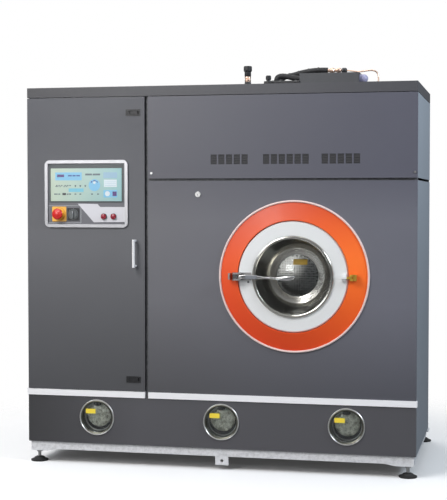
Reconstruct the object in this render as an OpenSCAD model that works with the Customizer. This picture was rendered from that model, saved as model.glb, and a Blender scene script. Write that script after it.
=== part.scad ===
// Dry cleaning machine: electric cabinet with touch panel on the left, round loading door and
// drum on the right, three solvent tanks with sight ports in the plinth.
// Millimetres, +Z up, front towards -Y, origin on the floor under the middle of the machine.

/* [Casing] */
// Width of the casing
casing_w = 2000; // [1960:10:2100]
// Depth of the side panels
casing_d = 845; // [820:5:900]
// Height of the lid over the floor
casing_top = 1936; // [1930:2:1980]
// Depth of the narrower section behind the side panels
rear_d = 225; // [215:5:280]
// Step in of the rear section at each side
rear_step = 22; // [18:1:28]
// Thickness of the panel sheet
sheet = 2; // [1.5:0.5:2.5]
// Depth of the folded edge round each front panel
hem = 20; // [16:1:22]
// Height of the plinth panel
plinth_h = 243; // [235:1:260]
// Height of the white trim strip
strip_h = 31; // [26:1:36]
// How far the trim strip stands proud of the panels
strip_proud = 5; // [3:1:8]
// Height of the lid's skirt
lid_h = 50; // [44:1:60]
// Height of the lower front panel
lower_panel_h = 1074; // [1060:1:1090]
// Height of the groove between the two front panels
groove = 12; // [8:1:16]
// Seam round the cabinet door and under the lid
seam = 3; // [2:1:4]
// Width of the cabinet door
cabinet_w = 629; // [610:1:650]
// Width of the gap between the cabinet door and the panels
split = 18; // [14:1:24]
// Clearance where one piece seats on or passes another
fit_gap = 0.3; // [0.2:0.1:0.5]
// Radial clearance of shafts, pins and plungers
run_gap = 0.06; // [0.04:0.01:0.08]

/* [Base frame and feet] */
// Height of the base frame's underside over the floor
frame_under = 69; // [60:1:80]
// Height of the base frame's beams
frame_h = 40; // [36:1:50]
// Width of the base frame's beams
frame_beam = 60; // [50:1:70]
// Step of the base frame in from the casing's sides
frame_inset = 10; // [5:1:14]
// Step of the base frame back from the casing's front
frame_setback = 8; // [4:1:12]
// Wall of the base frame's beams
tube_wall = 3; // [2.5:0.5:5]
// Radius of a foot pad
foot_r = 45; // [35:1:50]
// Height of a foot pad at its edge
foot_edge_h = 7; // [5:1:10]
// Height of a foot pad at its stem
foot_pad_h = 22; // [18:1:28]
// Distance of the feet in from the casing's sides
foot_in = 42; // [42:1:60]
// Distance of the front feet back from the casing's front
foot_back = 45; // [40:1:60]
// Radius of a levelling screw
screw_r = 8; // [6:1:10]
// Radius of the levelling screw's lock nut
nut_r = 15; // [13:1:18]
// Height of the lock nut
nut_h = 11; // [8:1:12]
// Thickness of the foot plate under each corner
foot_plate_t = 10; // [8:1:14]
// Width of a foot plate
foot_plate_w = 90; // [70:1:100]
// Place of the lug under the front beam, from the middle
lug_x = 28; // [-200:1:200]
// Width of the lug
lug_w = 67; // [50:1:80]
// Length of the lug below the beam
lug_h = 44; // [34:1:50]
// Thickness of the lug
lug_t = 8; // [6:1:12]
// Radius of the lug's hole
lug_hole_r = 8; // [5:1:10]

/* [Inner frame] */
// Side of the square posts and rails
post = 40; // [30:1:44]
// Height of the rail behind the groove
cross_rail_h = 62; // [56:1:70]
// Thickness of the machine deck
deck_t = 6; // [4:1:8]
// Wall of the posts and rails
post_wall = 3; // [2:0.5:4]
// Gap at a welded joint between two bars
weld_gap = 0.1; // [0.05:0.05:0.2]
// Thickness of the tub's saddles
saddle_t = 12; // [8:1:16]
// Width of one leg of a saddle
saddle_leg = 150; // [110:5:180]
// Half width of a saddle
saddle_half = 260; // [220:5:300]
// Distance of the first saddle behind the front plate of the tub
saddle_first = 80; // [60:5:110]
// Distance between the two saddles
saddle_pitch = 280; // [220:5:300]

/* [Loading door] */
// Place of the loading door's centre, from the middle
door_x = 395; // [380:1:410]
// Height of the loading door's centre over the floor
door_z = 982; // [970:1:1000]
// Outer radius of the trim round the orange ring
trim_r = 378; // [376:1:390]
// Width of the trim
trim_w = 10.5; // [8:0.5:13]
// Height of the trim off the panel
trim_h = 9; // [6:1:12]
// Inner radius of the orange ring
orange_in_r = 278; // [278:0.5:282]
// How far the orange ring's inner edge stands off the panel
orange_h = 30; // [26:1:34]
// Height of the orange ring's outer edge off the panel
orange_edge_h = 3; // [2:1:6]
// Thickness of the orange ring and of the white ring
ring_t = 3; // [2:0.5:4]
// Clearance between the white ring and the orange ring
ring_gap = 3; // [3:0.5:5]
// How far the white ring's face stands off the panel
white_h = 28; // [24:1:30]
// Inner radius of the white ring
white_in_r = 200; // [196:1:204]
// Radius of the round bead of the steel bowl
bead_r = 9; // [7:1:11]
// Thickness of the steel bowl
bowl_t = 3.5; // [2.5:0.5:4]
// Radius of the bowl's throat
throat_r = 140; // [135:1:146]
// Depth of the throat behind the panel's face
throat_y = 98; // [90:1:105]
// Radius of the bowl's opening onto the glass
view_r = 107; // [100:1:112]
// Depth of the opening onto the glass
view_y = 110; // [106:1:114]
// Radius of the door glass
glass_r = 118; // [114:1:122]
// Thickness of the door glass
glass_t = 10; // [8:1:12]
// Height of the dome of the door glass
glass_dome = 20; // [12:1:22]
// Thickness of the glass clamp's wall
clamp_t = 4; // [3:0.5:6]
// Distance of the door's hinge pin from the door's centre
hinge_off = 291; // [289:1:294]
// Distance of the hinge pin in front of the panel
hinge_out = 42; // [40:1:46]
// Radius of the hinge pin
hinge_pin_r = 3.5; // [3:0.5:4.5]
// Height of the hinge
hinge_h = 30; // [26:1:40]
// Radius of the hinge's knuckle
knuckle_r = 7.5; // [7:0.5:9]
// Distance of the lever's pivot from the door's centre
lever_off = 287; // [282:1:290]
// Distance of the lever's pivot in front of the panel
lever_out = 50; // [48:1:54]
// Radius of the lever's pivot pin
lever_pin_r = 4; // [3:0.5:5]
// Radius of the lever's eye
lever_eye_r = 13; // [11:1:14]
// Height of the lever's eye
lever_eye_h = 22; // [18:1:26]
// Length of the lever from its pivot
lever_l = 302; // [280:1:310]
// Slope of the lever down to the right, in degrees
lever_tilt = 1.8; // [0:0.1:3]
// Thickness of the lever
lever_t = 10; // [8:1:12]
// Thickness of the lever's grip at its tip
grip_t = 16; // [14:1:20]

/* [Drum and drive] */
// Outer radius of the tub
tub_r = 430; // [425:1:440]
// Wall of the tub
tub_t = 4; // [3:0.5:5]
// Distance of the tub's front behind the panel
tub_y = 62; // [61:1:70]
// Length of the tub
tub_l = 440; // [430:1:460]
// Wall of the tub's neck
neck_t = 4; // [3:0.5:5]
// Distance of the neck's flange behind the panel
neck_y = 14; // [12:1:18]
// Step in from the tub's outer radius to the drum's
drum_gap = 30; // [25:1:50]
// Wall of the drum
drum_t = 2.5; // [2:0.5:3]
// Clearance between the drum and the tub's ends
drum_end_gap = 12; // [10:1:16]
// Radius of the drum's mouth
drum_mouth_r = 212; // [208:1:230]
// Height of the drum's three lifters
lifter_h = 65; // [50:1:75]
// Radius of the drum shaft
shaft_r = 30; // [25:1:32]
// Outer radius of the drum's bearings
bearing_r = 55; // [50:1:58]
// Width of a bearing
bearing_w = 27; // [22:1:30]
// Length of the bearing housing
housing_l = 95; // [90:1:110]
// Outer radius of the bearing housing
housing_r = 72; // [68:1:80]
// Radius of the drum's pulley
drum_pulley_r = 200; // [180:1:210]
// Width of both pulleys
pulley_w = 34; // [30:1:38]
// Gap between the bearing housing and the drum's pulley
pulley_gap = 30; // [25:1:40]
// Radius of the motor's pulley
motor_pulley_r = 45; // [40:1:55]
// Width of the drive belt
belt_w = 22; // [18:1:26]
// Thickness of the drive belt
belt_t = 9; // [7:1:11]
// Distance of the motor to the right of the drum's axis
motor_off = 365; // [355:1:375]
// Radius of the drive motor
motor_r = 95; // [85:1:100]
// Length of the drive motor
motor_l = 260; // [240:5:280]
// Radius of the motor's shaft
motor_shaft_r = 14; // [12:1:16]

/* [Solvent side] */
// Gap between neighbouring solvent tanks
tank_gap = 10; // [8:1:16]
// Wall of the solvent tanks
tank_t = 3; // [2:0.5:4]
// Distance of the tanks' front wall behind the panel
tank_y = 100; // [98:1:110]
// Distance of the left sight port from the machine's middle
port_left_x = -628; // [-640:1:-600]
// Distance of the middle sight port from the machine's middle
port_mid_x = 27; // [0:1:40]
// Distance of the right sight port from the machine's middle
port_right_x = 660; // [640:1:680]
// Height of the sight ports over the plinth's lower edge
port_z = 135.4; // [130:0.1:140]
// Outer radius of a sight port's ring
port_r = 92; // [88:1:95]
// Radius of a sight port's tube
port_tube_r = 80; // [76:1:82]
// Wall of a sight port's tube
port_tube_t = 3; // [2:0.5:4]
// How far a sight port's ring stands off the panel
port_h = 6; // [4:1:10]
// Thickness of a sight glass
port_glass_t = 8; // [6:1:10]
// Radius of the dished cover inside a sight port
cover_r = 66; // [60:1:70]
// Wall of the filter, still, column and separator
vessel_wall = 4; // [3:0.5:6]
// Radius of the still
still_r = 195; // [170:1:200]
// Height of the still's straight wall
still_h = 640; // [500:5:700]
// Radius of the condenser column beside the still
column_r = 72; // [60:1:75]
// Height of the condenser column
column_h = 900; // [800:5:1000]
// Radius of the solvent filter
filter_r = 100; // [90:1:105]
// Height of the solvent filter
filter_h = 620; // [500:5:700]
// Radius of the water separator
separator_r = 78; // [70:1:82]
// Height of the water separator
separator_h = 460; // [400:5:520]
// Radius of the solvent pump's motor
pump_r = 62; // [55:1:68]
// Radius of the suction pipe between the button trap and the pump
suction_r = 20; // [16:1:24]
// Radius of the drain under the tub
drain_r = 45; // [38:1:50]
// Radius of the refrigeration compressor
compressor_r = 98; // [85:1:100]
// Height of the refrigeration compressor
compressor_h = 300; // [260:5:340]

/* [Air system] */
// Width of each air stub on the tub
stub_w = 150; // [130:1:160]
// Depth of each air stub on the tub
stub_d = 200; // [180:1:220]
// Distance of each air stub from the drum's axis
stub_off = 185; // [175:1:195]
// Height of the air stubs' flange over the drum's axis
stub_top = 458; // [450:1:470]
// Height of the ducts between the tub and the coil box
riser_h = 110; // [90:1:120]
// Height of the coil box
coil_box_h = 290; // [260:1:296]
// Radius of the fan housing
fan_housing_r = 145; // [140:1:148]
// Radius of the fan wheel
fan_r = 115; // [100:1:120]
// Number of blades on the fan wheel
fan_blades = 12; // [8:1:16]
// Radius of the fan's motor
fan_motor_r = 70; // [60:1:80]
// Length of the fan's motor
fan_motor_l = 180; // [150:5:200]

/* [Control panel] */
// Left edge of the silver frame, from the casing's left side
bezel_left = 97; // [90:1:105]
// Width of the silver frame
bezel_w = 445; // [440:1:455]
// Height of the silver frame
bezel_h = 343; // [338:1:350]
// Height of the silver frame's lower edge over the floor
bezel_z = 1221; // [1200:1:1240]
// Width of the silver frame's bar
bezel_bar = 16; // [12:1:20]
// Corner radius of the silver frame
bezel_corner = 26; // [22:1:32]
// How far the silver frame stands off the door
bezel_proud = 9; // [7:1:12]
// Thickness of the dark plate inside the silver frame
plate_t = 2; // [1.5:0.5:3]
// Width of the touch screen
screen_w = 380; // [370:1:386]
// Height of the touch screen
screen_h = 167.5; // [160:0.5:172]
// Depth of the touch screen's body
screen_d = 45; // [35:1:55]
// Side of the yellow plate under the emergency stop
estop_plate = 76; // [70:1:80]
// Radius of the emergency stop's mushroom knob
estop_r = 28; // [24:1:32]
// Thickness of the mushroom knob
estop_t = 18; // [14:1:22]
// Travel of the emergency stop
estop_travel = 5; // [4:0.5:6]
// Radius of the emergency stop's stem
stem_r = 10; // [8:0.5:11]
// Side of the dark plate under the selector
selector_plate = 63; // [58:1:66]
// Radius of the selector's knob
selector_r = 21; // [18:1:24]
// Radius of a push button
button_r = 14; // [12:0.5:15]
// Travel of a push button
button_travel = 3; // [2:0.5:4]

/* [Door fittings] */
// Distance of the bar handle from the cabinet door's right edge
handle_in = 48; // [44:1:56]
// Height of the bar handle's lower end over the floor
handle_z = 1019; // [980:1:1060]
// Length of the bar handle
handle_l = 142; // [130:1:160]
// Radius of the bar handle
handle_r = 7; // [6:0.5:9]
// Distance of the bar handle's axis in front of the door
handle_out = 38; // [34:1:44]
// Width of a flush latch
latch_w = 75; // [70:1:80]
// Height of a flush latch
latch_h = 32; // [30:1:36]
// Distance of a flush latch from the cabinet door's right edge
latch_in = 23; // [20:1:28]
// Height of the lower latch over the floor
latch_low_z = 430; // [425:1:460]
// Distance of the upper latch from the door's top
latch_drop = 96; // [90:1:150]
// Radius of the cabinet door's hinge pins
cab_pin_r = 4; // [3:0.5:4]
// Distance of the cabinet hinge axis from the left and front faces
cab_pin_in = 10; // [9.5:0.5:11]
// Height of a cabinet hinge's knuckle
cab_knuckle_h = 30; // [24:1:40]
// Distance of the panel lock from the machine's middle
lock_x = -93; // [-110:1:-60]
// Distance of the panel lock below the lower panel's top edge
lock_down = 68; // [60:1:76]
// Radius of the panel lock
lock_r = 11; // [9:0.5:12]
// Radius of a panel screw's head
head_r = 6; // [5:0.5:8]
// Radius of a panel screw's shank
shank_r = 3; // [2.5:0.5:3.5]
// Width of a vent slot in the upper panel
vent_w = 31; // [26:1:33]
// Height of a vent slot in the upper panel
vent_h = 49; // [40:1:56]
// Distance from one vent slot to the next
vent_pitch = 39.5; // [37:0.5:42]

/* [Roof fittings] */
// Distance of the front roof fittings behind the front
roof_y = 300; // [250:5:320]
// Distance of the relief valve from the machine's middle
relief_x = 100; // [80:1:120]
// Height of the relief valve over the lid
relief_h = 119; // [100:1:130]
// Distance of the small hand valve from the machine's middle
valve_x = 209; // [200:1:218]
// Radius of the hand valve's knob
valve_r = 14; // [12:1:17]
// Distance of the roof box from the machine's middle
box_x = 371; // [360:1:390]
// Length of the roof box
box_l = 307; // [290:1:320]
// Depth of the roof box
box_d = 125; // [100:1:135]
// Height of the roof box
box_h = 76; // [70:1:84]
// Radius of the round end on the roof box
drum_end_r = 22; // [18:1:26]
// Length of the round end on the roof box
drum_end_l = 42; // [36:1:50]
// Radius of the thick insulated pipe
hose_r = 14; // [12:1:16]
// Radius of the copper pipe
copper_r = 4; // [3:0.5:5]
// Radius of the copper fittings
fitting_r = 14; // [12:1:16]
// Radius of the cooling water pipes at the back
water_r = 14; // [11:0.5:17]
// Radius of the steam pipe at the back
steam_r = 10.5; // [9:0.5:13]
// How far the back pipes stand out of the rear cover
service_out = 12; // [10:1:14]

/* [Hidden] */
$fn = 64;
tiny = 0.01;
white = [0.91, 0.91, 0.92];
bright = [0.75, 0.75, 0.76];
steel = [0.62, 0.63, 0.64];
grey = [0.32, 0.32, 0.34];
black = [0.08, 0.08, 0.085];
blue = [0.22, 0.28, 0.38];
zinc = [0.68, 0.64, 0.30];
lamp_red = [0.55, 0.06, 0.08];

// Heights over the floor
frame_top = frame_under + frame_h;
plinth_top = frame_top + plinth_h;
strip_top = plinth_top + strip_h;
lower_top = strip_top + lower_panel_h;
upper_z0 = lower_top + groove;
lid_z0 = casing_top - lid_h;
latch_high_z = lid_z0 - seam - latch_drop;
drum_r = tub_r - drum_gap;
upper_top = lid_z0 - seam;
roof = casing_top;
rail_top = casing_top - sheet;
rail_z0 = rail_top - post;
deck_z0 = plinth_top;
deck_z1 = deck_z0 + deck_t;

// Widths from the machine's middle
half_w = casing_w / 2;
inner_x = half_w - sheet;
rear_x = half_w - rear_step;
cab_x1 = -half_w + cabinet_w;
main_x0 = cab_x1 + split;
gap_x = cab_x1 + split / 2;

// Depths behind the front
rear_y = casing_d + rear_d;
post_y = hem + fit_gap;
side_post_y = cab_pin_in + cab_pin_in * sqrt(2) + 2;
rear_post_y = casing_d - sheet - post;
tub_back = tub_y + tub_l;
housing_end = tub_back + housing_l;
pulley_y = housing_end + pulley_gap;
rear_beam_y1 = rear_y + 15;

// Feet
foot_x = half_w - foot_in;
rear_foot_y = rear_beam_y1 - foot_r;
foot_places = [[-foot_x, foot_back], [foot_x, foot_back], [-foot_x, rear_foot_y], [foot_x, rear_foot_y]];

// Reach to the front and the back, and the origin between them
lever_front = lever_out + grip_t / 2 + 6;
origin_y = (rear_beam_y1 - lever_front) / 2;

// Loading door
trim_in_r = trim_r - trim_w;
orange_out_r = trim_in_r - fit_gap;
white_out_r = orange_in_r - ring_gap;
panel_hole_r = orange_in_r + ring_t + 9;
neck_r = white_in_r + 4;
bead_c = white_in_r - bead_r + 4;
hinge_x = door_x + hinge_off;
hinge_y = -hinge_out;
ear_gap = 6;
lever_x = door_x - lever_off;
lever_y = -lever_out;

// Drum and drive
drum_y0 = tub_y + tub_t + drum_end_gap;
drum_y1 = tub_back - tub_t - drum_end_gap;
motor_x = door_x + motor_off;
motor_foot_h = 14;
motor_z = deck_z1 + motor_foot_h + motor_r + 3;
motor_y1 = pulley_y - 30;
belt_y = pulley_y + (pulley_w - belt_w) / 2;
groove_d = 6;

// Sight ports
port_xs = [port_left_x, port_mid_x, port_right_x];
port_height = frame_top + port_z;

// Air system
duct_z0 = door_z + stub_top;
coil_z0 = duct_z0 + riser_h;
stub_y0 = tub_y + 70;
fan_x = door_x + stub_off + 30;
fan_z = coil_z0 + coil_box_h / 2;
fan_y0 = stub_y0 + 20;
fan_depth = stub_d - 40;

// Control panel, measured from the silver frame's lower left corner
bezel_x = -half_w + bezel_left;
screen_x = bezel_x + 32;
screen_z = bezel_z + 134;
estop_x = bezel_x + 77;
estop_z = bezel_z + 68;
selector_x = bezel_x + 153;
selector_z = bezel_z + 67;
start_x = bezel_x + 317;
stop_x = bezel_x + 369;
button_z = bezel_z + 56;
face_y = -plate_t;
white_face = face_y - 2;
handle_x = cab_x1 - handle_in;
latch_x = cab_x1 - latch_in - latch_w;
cab_hinge_zs = [strip_top + 150, (strip_top + upper_top) / 2, upper_top - 150];
cab_axis_x = -half_w + cab_pin_in;
knuckle_half = cab_knuckle_h / 2;
lock_z = lower_top - lock_down;
screw_z = upper_z0 + 27;

// Roof
valve_base_h = 44;
low_pipe_z = roof + 24;
low_pipe_r = 10;
hose_y = roof_y + 35;
hose_x = 246;
hose_z = roof + box_h - hose_r - 5;
high_y = roof_y + box_d + 22;
high_r = 12;
high_route = [
    [250, high_y, roof - 16], [250, high_y, roof + 64], [380, high_y, roof + 82], [497, high_y, roof + 107]
];
fitting_z = roof + 101;
copper_route = [
    [565, high_y, fitting_z - 2], [609, high_y, fitting_z - 2], [654, high_y, fitting_z - 9],
    [696, high_y, fitting_z - 5], [736, high_y, fitting_z - 4], [752, high_y, fitting_z - 12],
    [761, high_y, fitting_z - 28], [761, high_y, roof - 16]
];

// Back connections
service_z = frame_top + 200;
service_xs = [620, 700, 780];
service_rs = [water_r, water_r, steam_r];
rear_screw_zs = [frame_top + 60, frame_top + 640, frame_top + 1220, upper_top - 60];

// ---- shared shapes

module stand() {
    translate([0, -origin_y, 0]) children();
}

module box(x0, x1, y0, y1, z0, z1) {
    translate([x0, y0, z0]) cube([x1 - x0, y1 - y0, z1 - z0]);
}

module cyl_x(y, z, x0, x1, r) {
    translate([x0, y, z]) rotate([0, 90, 0]) cylinder(h = x1 - x0, r = r);
}

module cyl_y(x, z, y0, y1, r) {
    translate([x, y0, z]) rotate([-90, 0, 0]) cylinder(h = y1 - y0, r = r);
}

module cyl_z(x, y, z0, z1, r) {
    translate([x, y, z0]) cylinder(h = z1 - z0, r = r);
}

// A ring or disc about a line along Y: the outline's points are [radius, Y]
module turned(x, z, fn = 128) {
    translate([x, 0, z]) rotate([-90, 0, 0]) rotate_extrude($fn = fn) children();
}

// An outline in X and Z, made y0 to y1 deep
module slab(y0, y1) {
    translate([0, y1, 0]) rotate([90, 0, 0]) linear_extrude(y1 - y0) children();
}

// A closed hollow beam
module tube_bar(x0, x1, y0, y1, z0, z1, wall) {
    difference() {
        box(x0, x1, y0, y1, z0, z1);
        box(x0 + wall, x1 - wall, y0 + wall, y1 - wall, z0 + wall, z1 - wall);
    }
}

// A sheet with a folded edge all round, open at the back
module tray(x0, x1, z0, z1, depth) {
    difference() {
        box(x0, x1, 0, depth, z0, z1);
        box(x0 + sheet, x1 - sheet, sheet, depth + 1, z0 + sheet, z1 - sheet);
    }
}

module rounded(w, h, r) {
    translate([r, 0]) square([w - 2 * r, h]);
    translate([0, r]) square([w, h - 2 * r]);
    for (x = [r, w - r], y = [r, h - r]) translate([x, y]) circle(r);
}

function arc(cx, cy, r, a0, a1, n) =
    [for (i = [0 : n]) let (a = a0 + (a1 - a0) * i / n) [cx + r * cos(a), cy + r * sin(a)]];

function mirrored(p) = [-p[0], p[1], p[2]];

// A round bar from one point to another
module rod(a, b, r) {
    d = b - a;
    translate(a) rotate([0, acos(d[2] / norm(d)), atan2(d[1], d[0])]) cylinder(h = norm(d), r = r, $fn = 32);
}

module pipe_run(route, r) {
    for (i = [0 : len(route) - 2]) rod(route[i], route[i + 1], r);
    for (i = [1 : len(route) - 2]) translate(route[i]) sphere(r + 1, $fn = 32);
}

// ---- base and casing

module foot_corner(y0, y1) {
    x1 = half_w - frame_inset;
    x0 = x1 - foot_plate_w;
    z0 = frame_under - foot_plate_t;
    z1 = frame_under - weld_gap;
    difference() {
        union() {
            slab(y0 + 5, y1) polygon([[x0, z0], [x1, z0], [x1, z1], [x0, z1]]);
            // slanted cheek from the beam down to the foot plate
            slab(y0, y0 + 6) polygon([[x1, z1], [x0 - 55, z1], [x0, z0], [x1, z0]]);
        }
        for (p = foot_places)
            cyl_z(p[0], p[1], z0 - 1, z1 + 1, screw_r + fit_gap);
    }
}

// Its beams are separate solids, a weld gap apart
module base_frame() {
    x1 = half_w - frame_inset;
    y0 = frame_setback;
    cross_x = x1 - frame_beam - weld_gap;
    rear_cross_x = rear_x - frame_beam - weld_gap;
    color(bright) {
        beam(-x1, x1, y0, y0 + frame_beam);
        for (y = [casing_d / 2 - frame_beam / 2, casing_d - frame_beam]) beam(-cross_x, cross_x, y, y + frame_beam);
        beam(-rear_cross_x, rear_cross_x, rear_beam_y1 - frame_beam, rear_beam_y1);
        for (s = [0, 1]) mirror([s, 0, 0]) {
            beam(x1 - frame_beam, x1, y0 + frame_beam + weld_gap, casing_d - weld_gap);
            beam(rear_x - frame_beam, rear_x, casing_d + weld_gap, rear_beam_y1);
            foot_corner(y0, foot_back + foot_r);
            foot_corner(rear_foot_y - foot_r, rear_beam_y1);
        }
        difference() {
            box(lug_x - lug_w / 2, lug_x + lug_w / 2, y0, y0 + lug_t, frame_under - lug_h, frame_under - weld_gap);
            cyl_y(lug_x, frame_under - lug_h / 2, y0 - 1, y0 + lug_t + 1, lug_hole_r);
        }
    }
}

module beam(x0, x1, y0, y1) {
    tube_bar(x0, x1, y0, y1, frame_under, frame_top, tube_wall);
}

module levelling_feet() {
    nut_z = frame_under - foot_plate_t - nut_h;
    for (p = foot_places) {
        color(black)
            translate([p[0], p[1], 0]) rotate_extrude()
                polygon(concat([[0, 0], [foot_r - 2, 0], [foot_r, 2], [foot_r, foot_edge_h]],
                               arc(foot_r * 0.35, foot_edge_h, foot_pad_h - foot_edge_h, 30, 90, 6),
                               [[0, foot_pad_h]]));
        color(bright) {
            cyl_z(p[0], p[1], foot_pad_h, frame_under - fit_gap, screw_r);
            translate([p[0], p[1], nut_z]) cylinder(h = nut_h, r = nut_r, $fn = 6);
        }
    }
}

module hinge_bracket(z) {
    // pin, two arms and the plate that is welded to the left post
    cyl_z(cab_axis_x, cab_pin_in, z - knuckle_half - 6, z + knuckle_half + 6, cab_pin_r);
    for (z0 = [z - knuckle_half - 6, z + knuckle_half + fit_gap]) {
        box(cab_axis_x - cab_pin_r + 0.5, cab_axis_x + 8, cab_pin_in, side_post_y, z0, z0 + 6 - fit_gap);
        cyl_z(cab_axis_x, cab_pin_in, z0, z0 + 6 - fit_gap, cab_pin_r);
    }
    box(cab_axis_x - cab_pin_r + 0.5, cab_axis_x + 18, side_post_y - 3, side_post_y,
        z - knuckle_half - 12, z + knuckle_half + 12);
}

// Two legs that carry the tub, each on its own foot strip
module saddle(y) {
    top = door_z - sqrt(tub_r * tub_r - saddle_half * saddle_half);
    difference() {
        for (s = [-1, 1]) translate([door_x + s * (saddle_half - saddle_leg / 2), 0, deck_z1 + weld_gap]) {
            box(-saddle_leg / 2, saddle_leg / 2, y, y + saddle_t, 0, top - deck_z1);
            box(-saddle_leg / 2, saddle_leg / 2, y - 24, y + saddle_t + 24, 0, 8);
        }
        cyl_y(door_x, door_z, y - 1, y + saddle_t + 1, tub_r + fit_gap, $fn = 128);
    }
}

module post_at(x, y) {
    tube_bar(x, x + post, y, y + post, frame_top, rail_z0 - weld_gap, post_wall);
}

module inner_frame() {
    deck_x = inner_x - post - 2;
    color(grey) {
        post_at(-inner_x, side_post_y);
        for (x = [gap_x - post / 2, inner_x - post]) post_at(x, post_y);
        for (x = [-inner_x, inner_x - post]) post_at(x, rear_post_y);
        post_at(-post / 2, casing_d - post);
        // rails under the lid
        for (y = [side_post_y, rear_post_y]) tube_bar(-inner_x, inner_x, y, y + post, rail_z0, rail_top, post_wall);
        for (x = [-inner_x, inner_x - post])
            tube_bar(x, x + post, side_post_y + post + weld_gap, rear_post_y - weld_gap, rail_z0, rail_top, post_wall);
        // rail behind the groove
        tube_bar(gap_x + post / 2 + weld_gap, inner_x - post - weld_gap, post_y, post_y + post,
                 upper_z0 - 20, upper_z0 - 20 + cross_rail_h, post_wall);
        // deck over the tanks, and the floor of the rear section
        box(-deck_x, deck_x, side_post_y + post + 2, casing_d - post - 2, deck_z0, deck_z1);
        box(-rear_x + sheet + 1, rear_x - sheet - 1, casing_d + 1, rear_y - sheet - 1, frame_top, frame_top + 4);
        for (i = [0, 1]) saddle(tub_y + saddle_first + i * saddle_pitch);
        for (z = cab_hinge_zs) hinge_bracket(z);
    }
}

module plinth_panel() {
    color(grey) difference() {
        tray(-half_w, half_w, frame_top, plinth_top, hem);
        for (x = port_xs) cyl_y(x, port_height, -1, sheet + 1, port_tube_r + fit_gap);
    }
}

module trim_strips() {
    color(white) {
        box(-half_w - strip_proud, cab_x1, -strip_proud, hem, plinth_top, strip_top);
        box(main_x0, half_w + strip_proud, -strip_proud, hem, plinth_top, strip_top);
    }
}

module lower_front_panel() {
    color(grey) difference() {
        tray(main_x0, half_w, strip_top, lower_top, hem);
        cyl_y(door_x, door_z, -1, sheet + 1, panel_hole_r);
        cyl_y(lock_x, lock_z, -1, sheet + 1, lock_r + fit_gap);
    }
}

// Left edge and number of slots of each group
vent_groups = [[-27, 5], [240, 6], [533, 5]];

module upper_front_panel() {
    vent_z = upper_z0 + 70;
    color(grey) difference() {
        tray(main_x0, half_w, upper_z0, upper_top, hem);
        for (g = vent_groups, i = [0 : g[1] - 1])
            box(g[0] + i * vent_pitch, g[0] + i * vent_pitch + vent_w, -1, sheet + 1, vent_z, vent_z + vent_h);
        for (x = [main_x0 + 18, half_w - 11]) cyl_y(x, screw_z, -1, sheet + 1, shank_r + fit_gap);
    }
}

module top_cover() {
    color(grey) difference() {
        box(-half_w, half_w, 0, casing_d + sheet, lid_z0, casing_top);
        box(-half_w + sheet, half_w - sheet, sheet, casing_d, lid_z0 - 1, casing_top - sheet);
        cyl_z(hose_x, hose_y, roof - 20, roof + 1, hose_r + fit_gap);
        cyl_z(high_route[0][0], high_y, roof - 20, roof + 1, high_r + fit_gap);
        cyl_z(copper_route[len(copper_route) - 1][0], high_y, roof - 20, roof + 1, copper_r + fit_gap);
    }
}

module side_panel(z0, z1) {
    box(half_w - sheet, half_w, hem + 2, casing_d, z0, z1);
    box(rear_x - 8, half_w - sheet, casing_d - sheet, casing_d, z0, z1);
}

module side_panels() {
    color([0.42, 0.43, 0.47]) for (s = [0, 1]) mirror([s, 0, 0]) {
        side_panel(frame_top, lower_top);
        side_panel(upper_z0, upper_top);
    }
}

module rear_cover() {
    slot_l = 260;
    slot_x0 = rear_x / 2 - slot_l / 2;
    difference() {
        box(sheet, rear_x, casing_d, rear_y, frame_top + 4, upper_top);
        box(2 * sheet, rear_x - sheet, casing_d - 1, rear_y - sheet, frame_top + 4 + sheet, upper_top - sheet);
        for (z0 = [frame_top + 300, upper_top - 420], i = [0 : 7])
            box(slot_x0, slot_x0 + slot_l, rear_y - sheet - 1, rear_y + 1, z0 + i * 26, z0 + i * 26 + 9);
        for (x = [60, rear_x - 60], z = rear_screw_zs)
            cyl_y(x, z, rear_y - sheet - 1, rear_y + 1, shank_r + fit_gap);
    }
}

module rear_covers() {
    color(grey) {
        mirror([1, 0, 0]) rear_cover();
        difference() {
            rear_cover();
            for (i = [0 : len(service_xs) - 1])
                cyl_y(service_xs[i], service_z, rear_y - sheet - 1, rear_y + 1, service_rs[i] + fit_gap);
        }
    }
}

module panel_screw(x, z) {
    difference() {
        union() {
            cyl_y(x, z, -3, 0, head_r);
            cyl_y(x, z, -tiny, hem, shank_r);
        }
        slab(-4, -1.6) translate([x, z]) circle(2.2, $fn = 6);
    }
}

module panel_screws() {
    color(steel) {
        for (x = [main_x0 + 18, half_w - 11]) panel_screw(x, screw_z);
        for (s = [-1, 1], x = [60, rear_x - 60], z = rear_screw_zs)
            translate([s * x, rear_y, z]) rotate([0, 0, 180]) panel_screw(0, 0);
    }
}

module panel_lock() {
    cam_y = post_y + post + 1;
    color(bright) difference() {
        union() {
            cyl_y(lock_x, lock_z, -4, -fit_gap, lock_r + 3);
            cyl_y(lock_x, lock_z, -1, cam_y, lock_r);
            box(lock_x - 8, lock_x + 8, cam_y - 0.6, cam_y + 2, lock_z, upper_z0 - 2);
        }
        box(lock_x - 1.2, lock_x + 1.2, -5, 3, lock_z - 5, lock_z + 5);
    }
}

// ---- loading door, fixed pieces

module orange_ring() {
    color([0.87, 0.30, 0.08]) turned(door_x, door_z) polygon([
        [orange_out_r, 0], [orange_out_r, -orange_edge_h], [orange_in_r + ring_t, -orange_h],
        [orange_in_r, -orange_h], [orange_in_r, neck_y - 4], [orange_in_r + ring_t, neck_y - 4],
        [orange_in_r + ring_t, -orange_h + ring_t + 1], [orange_out_r - ring_t, 0]
    ]);
}

module ring_trim() {
    color([0.90, 0.80, 0.78]) turned(door_x, door_z)
        polygon(concat([[trim_in_r, 0], [trim_r, 0]],
                       arc(trim_r - trim_w / 2, -trim_h + trim_w / 2, trim_w / 2, 0, -180, 12)));
}

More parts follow.
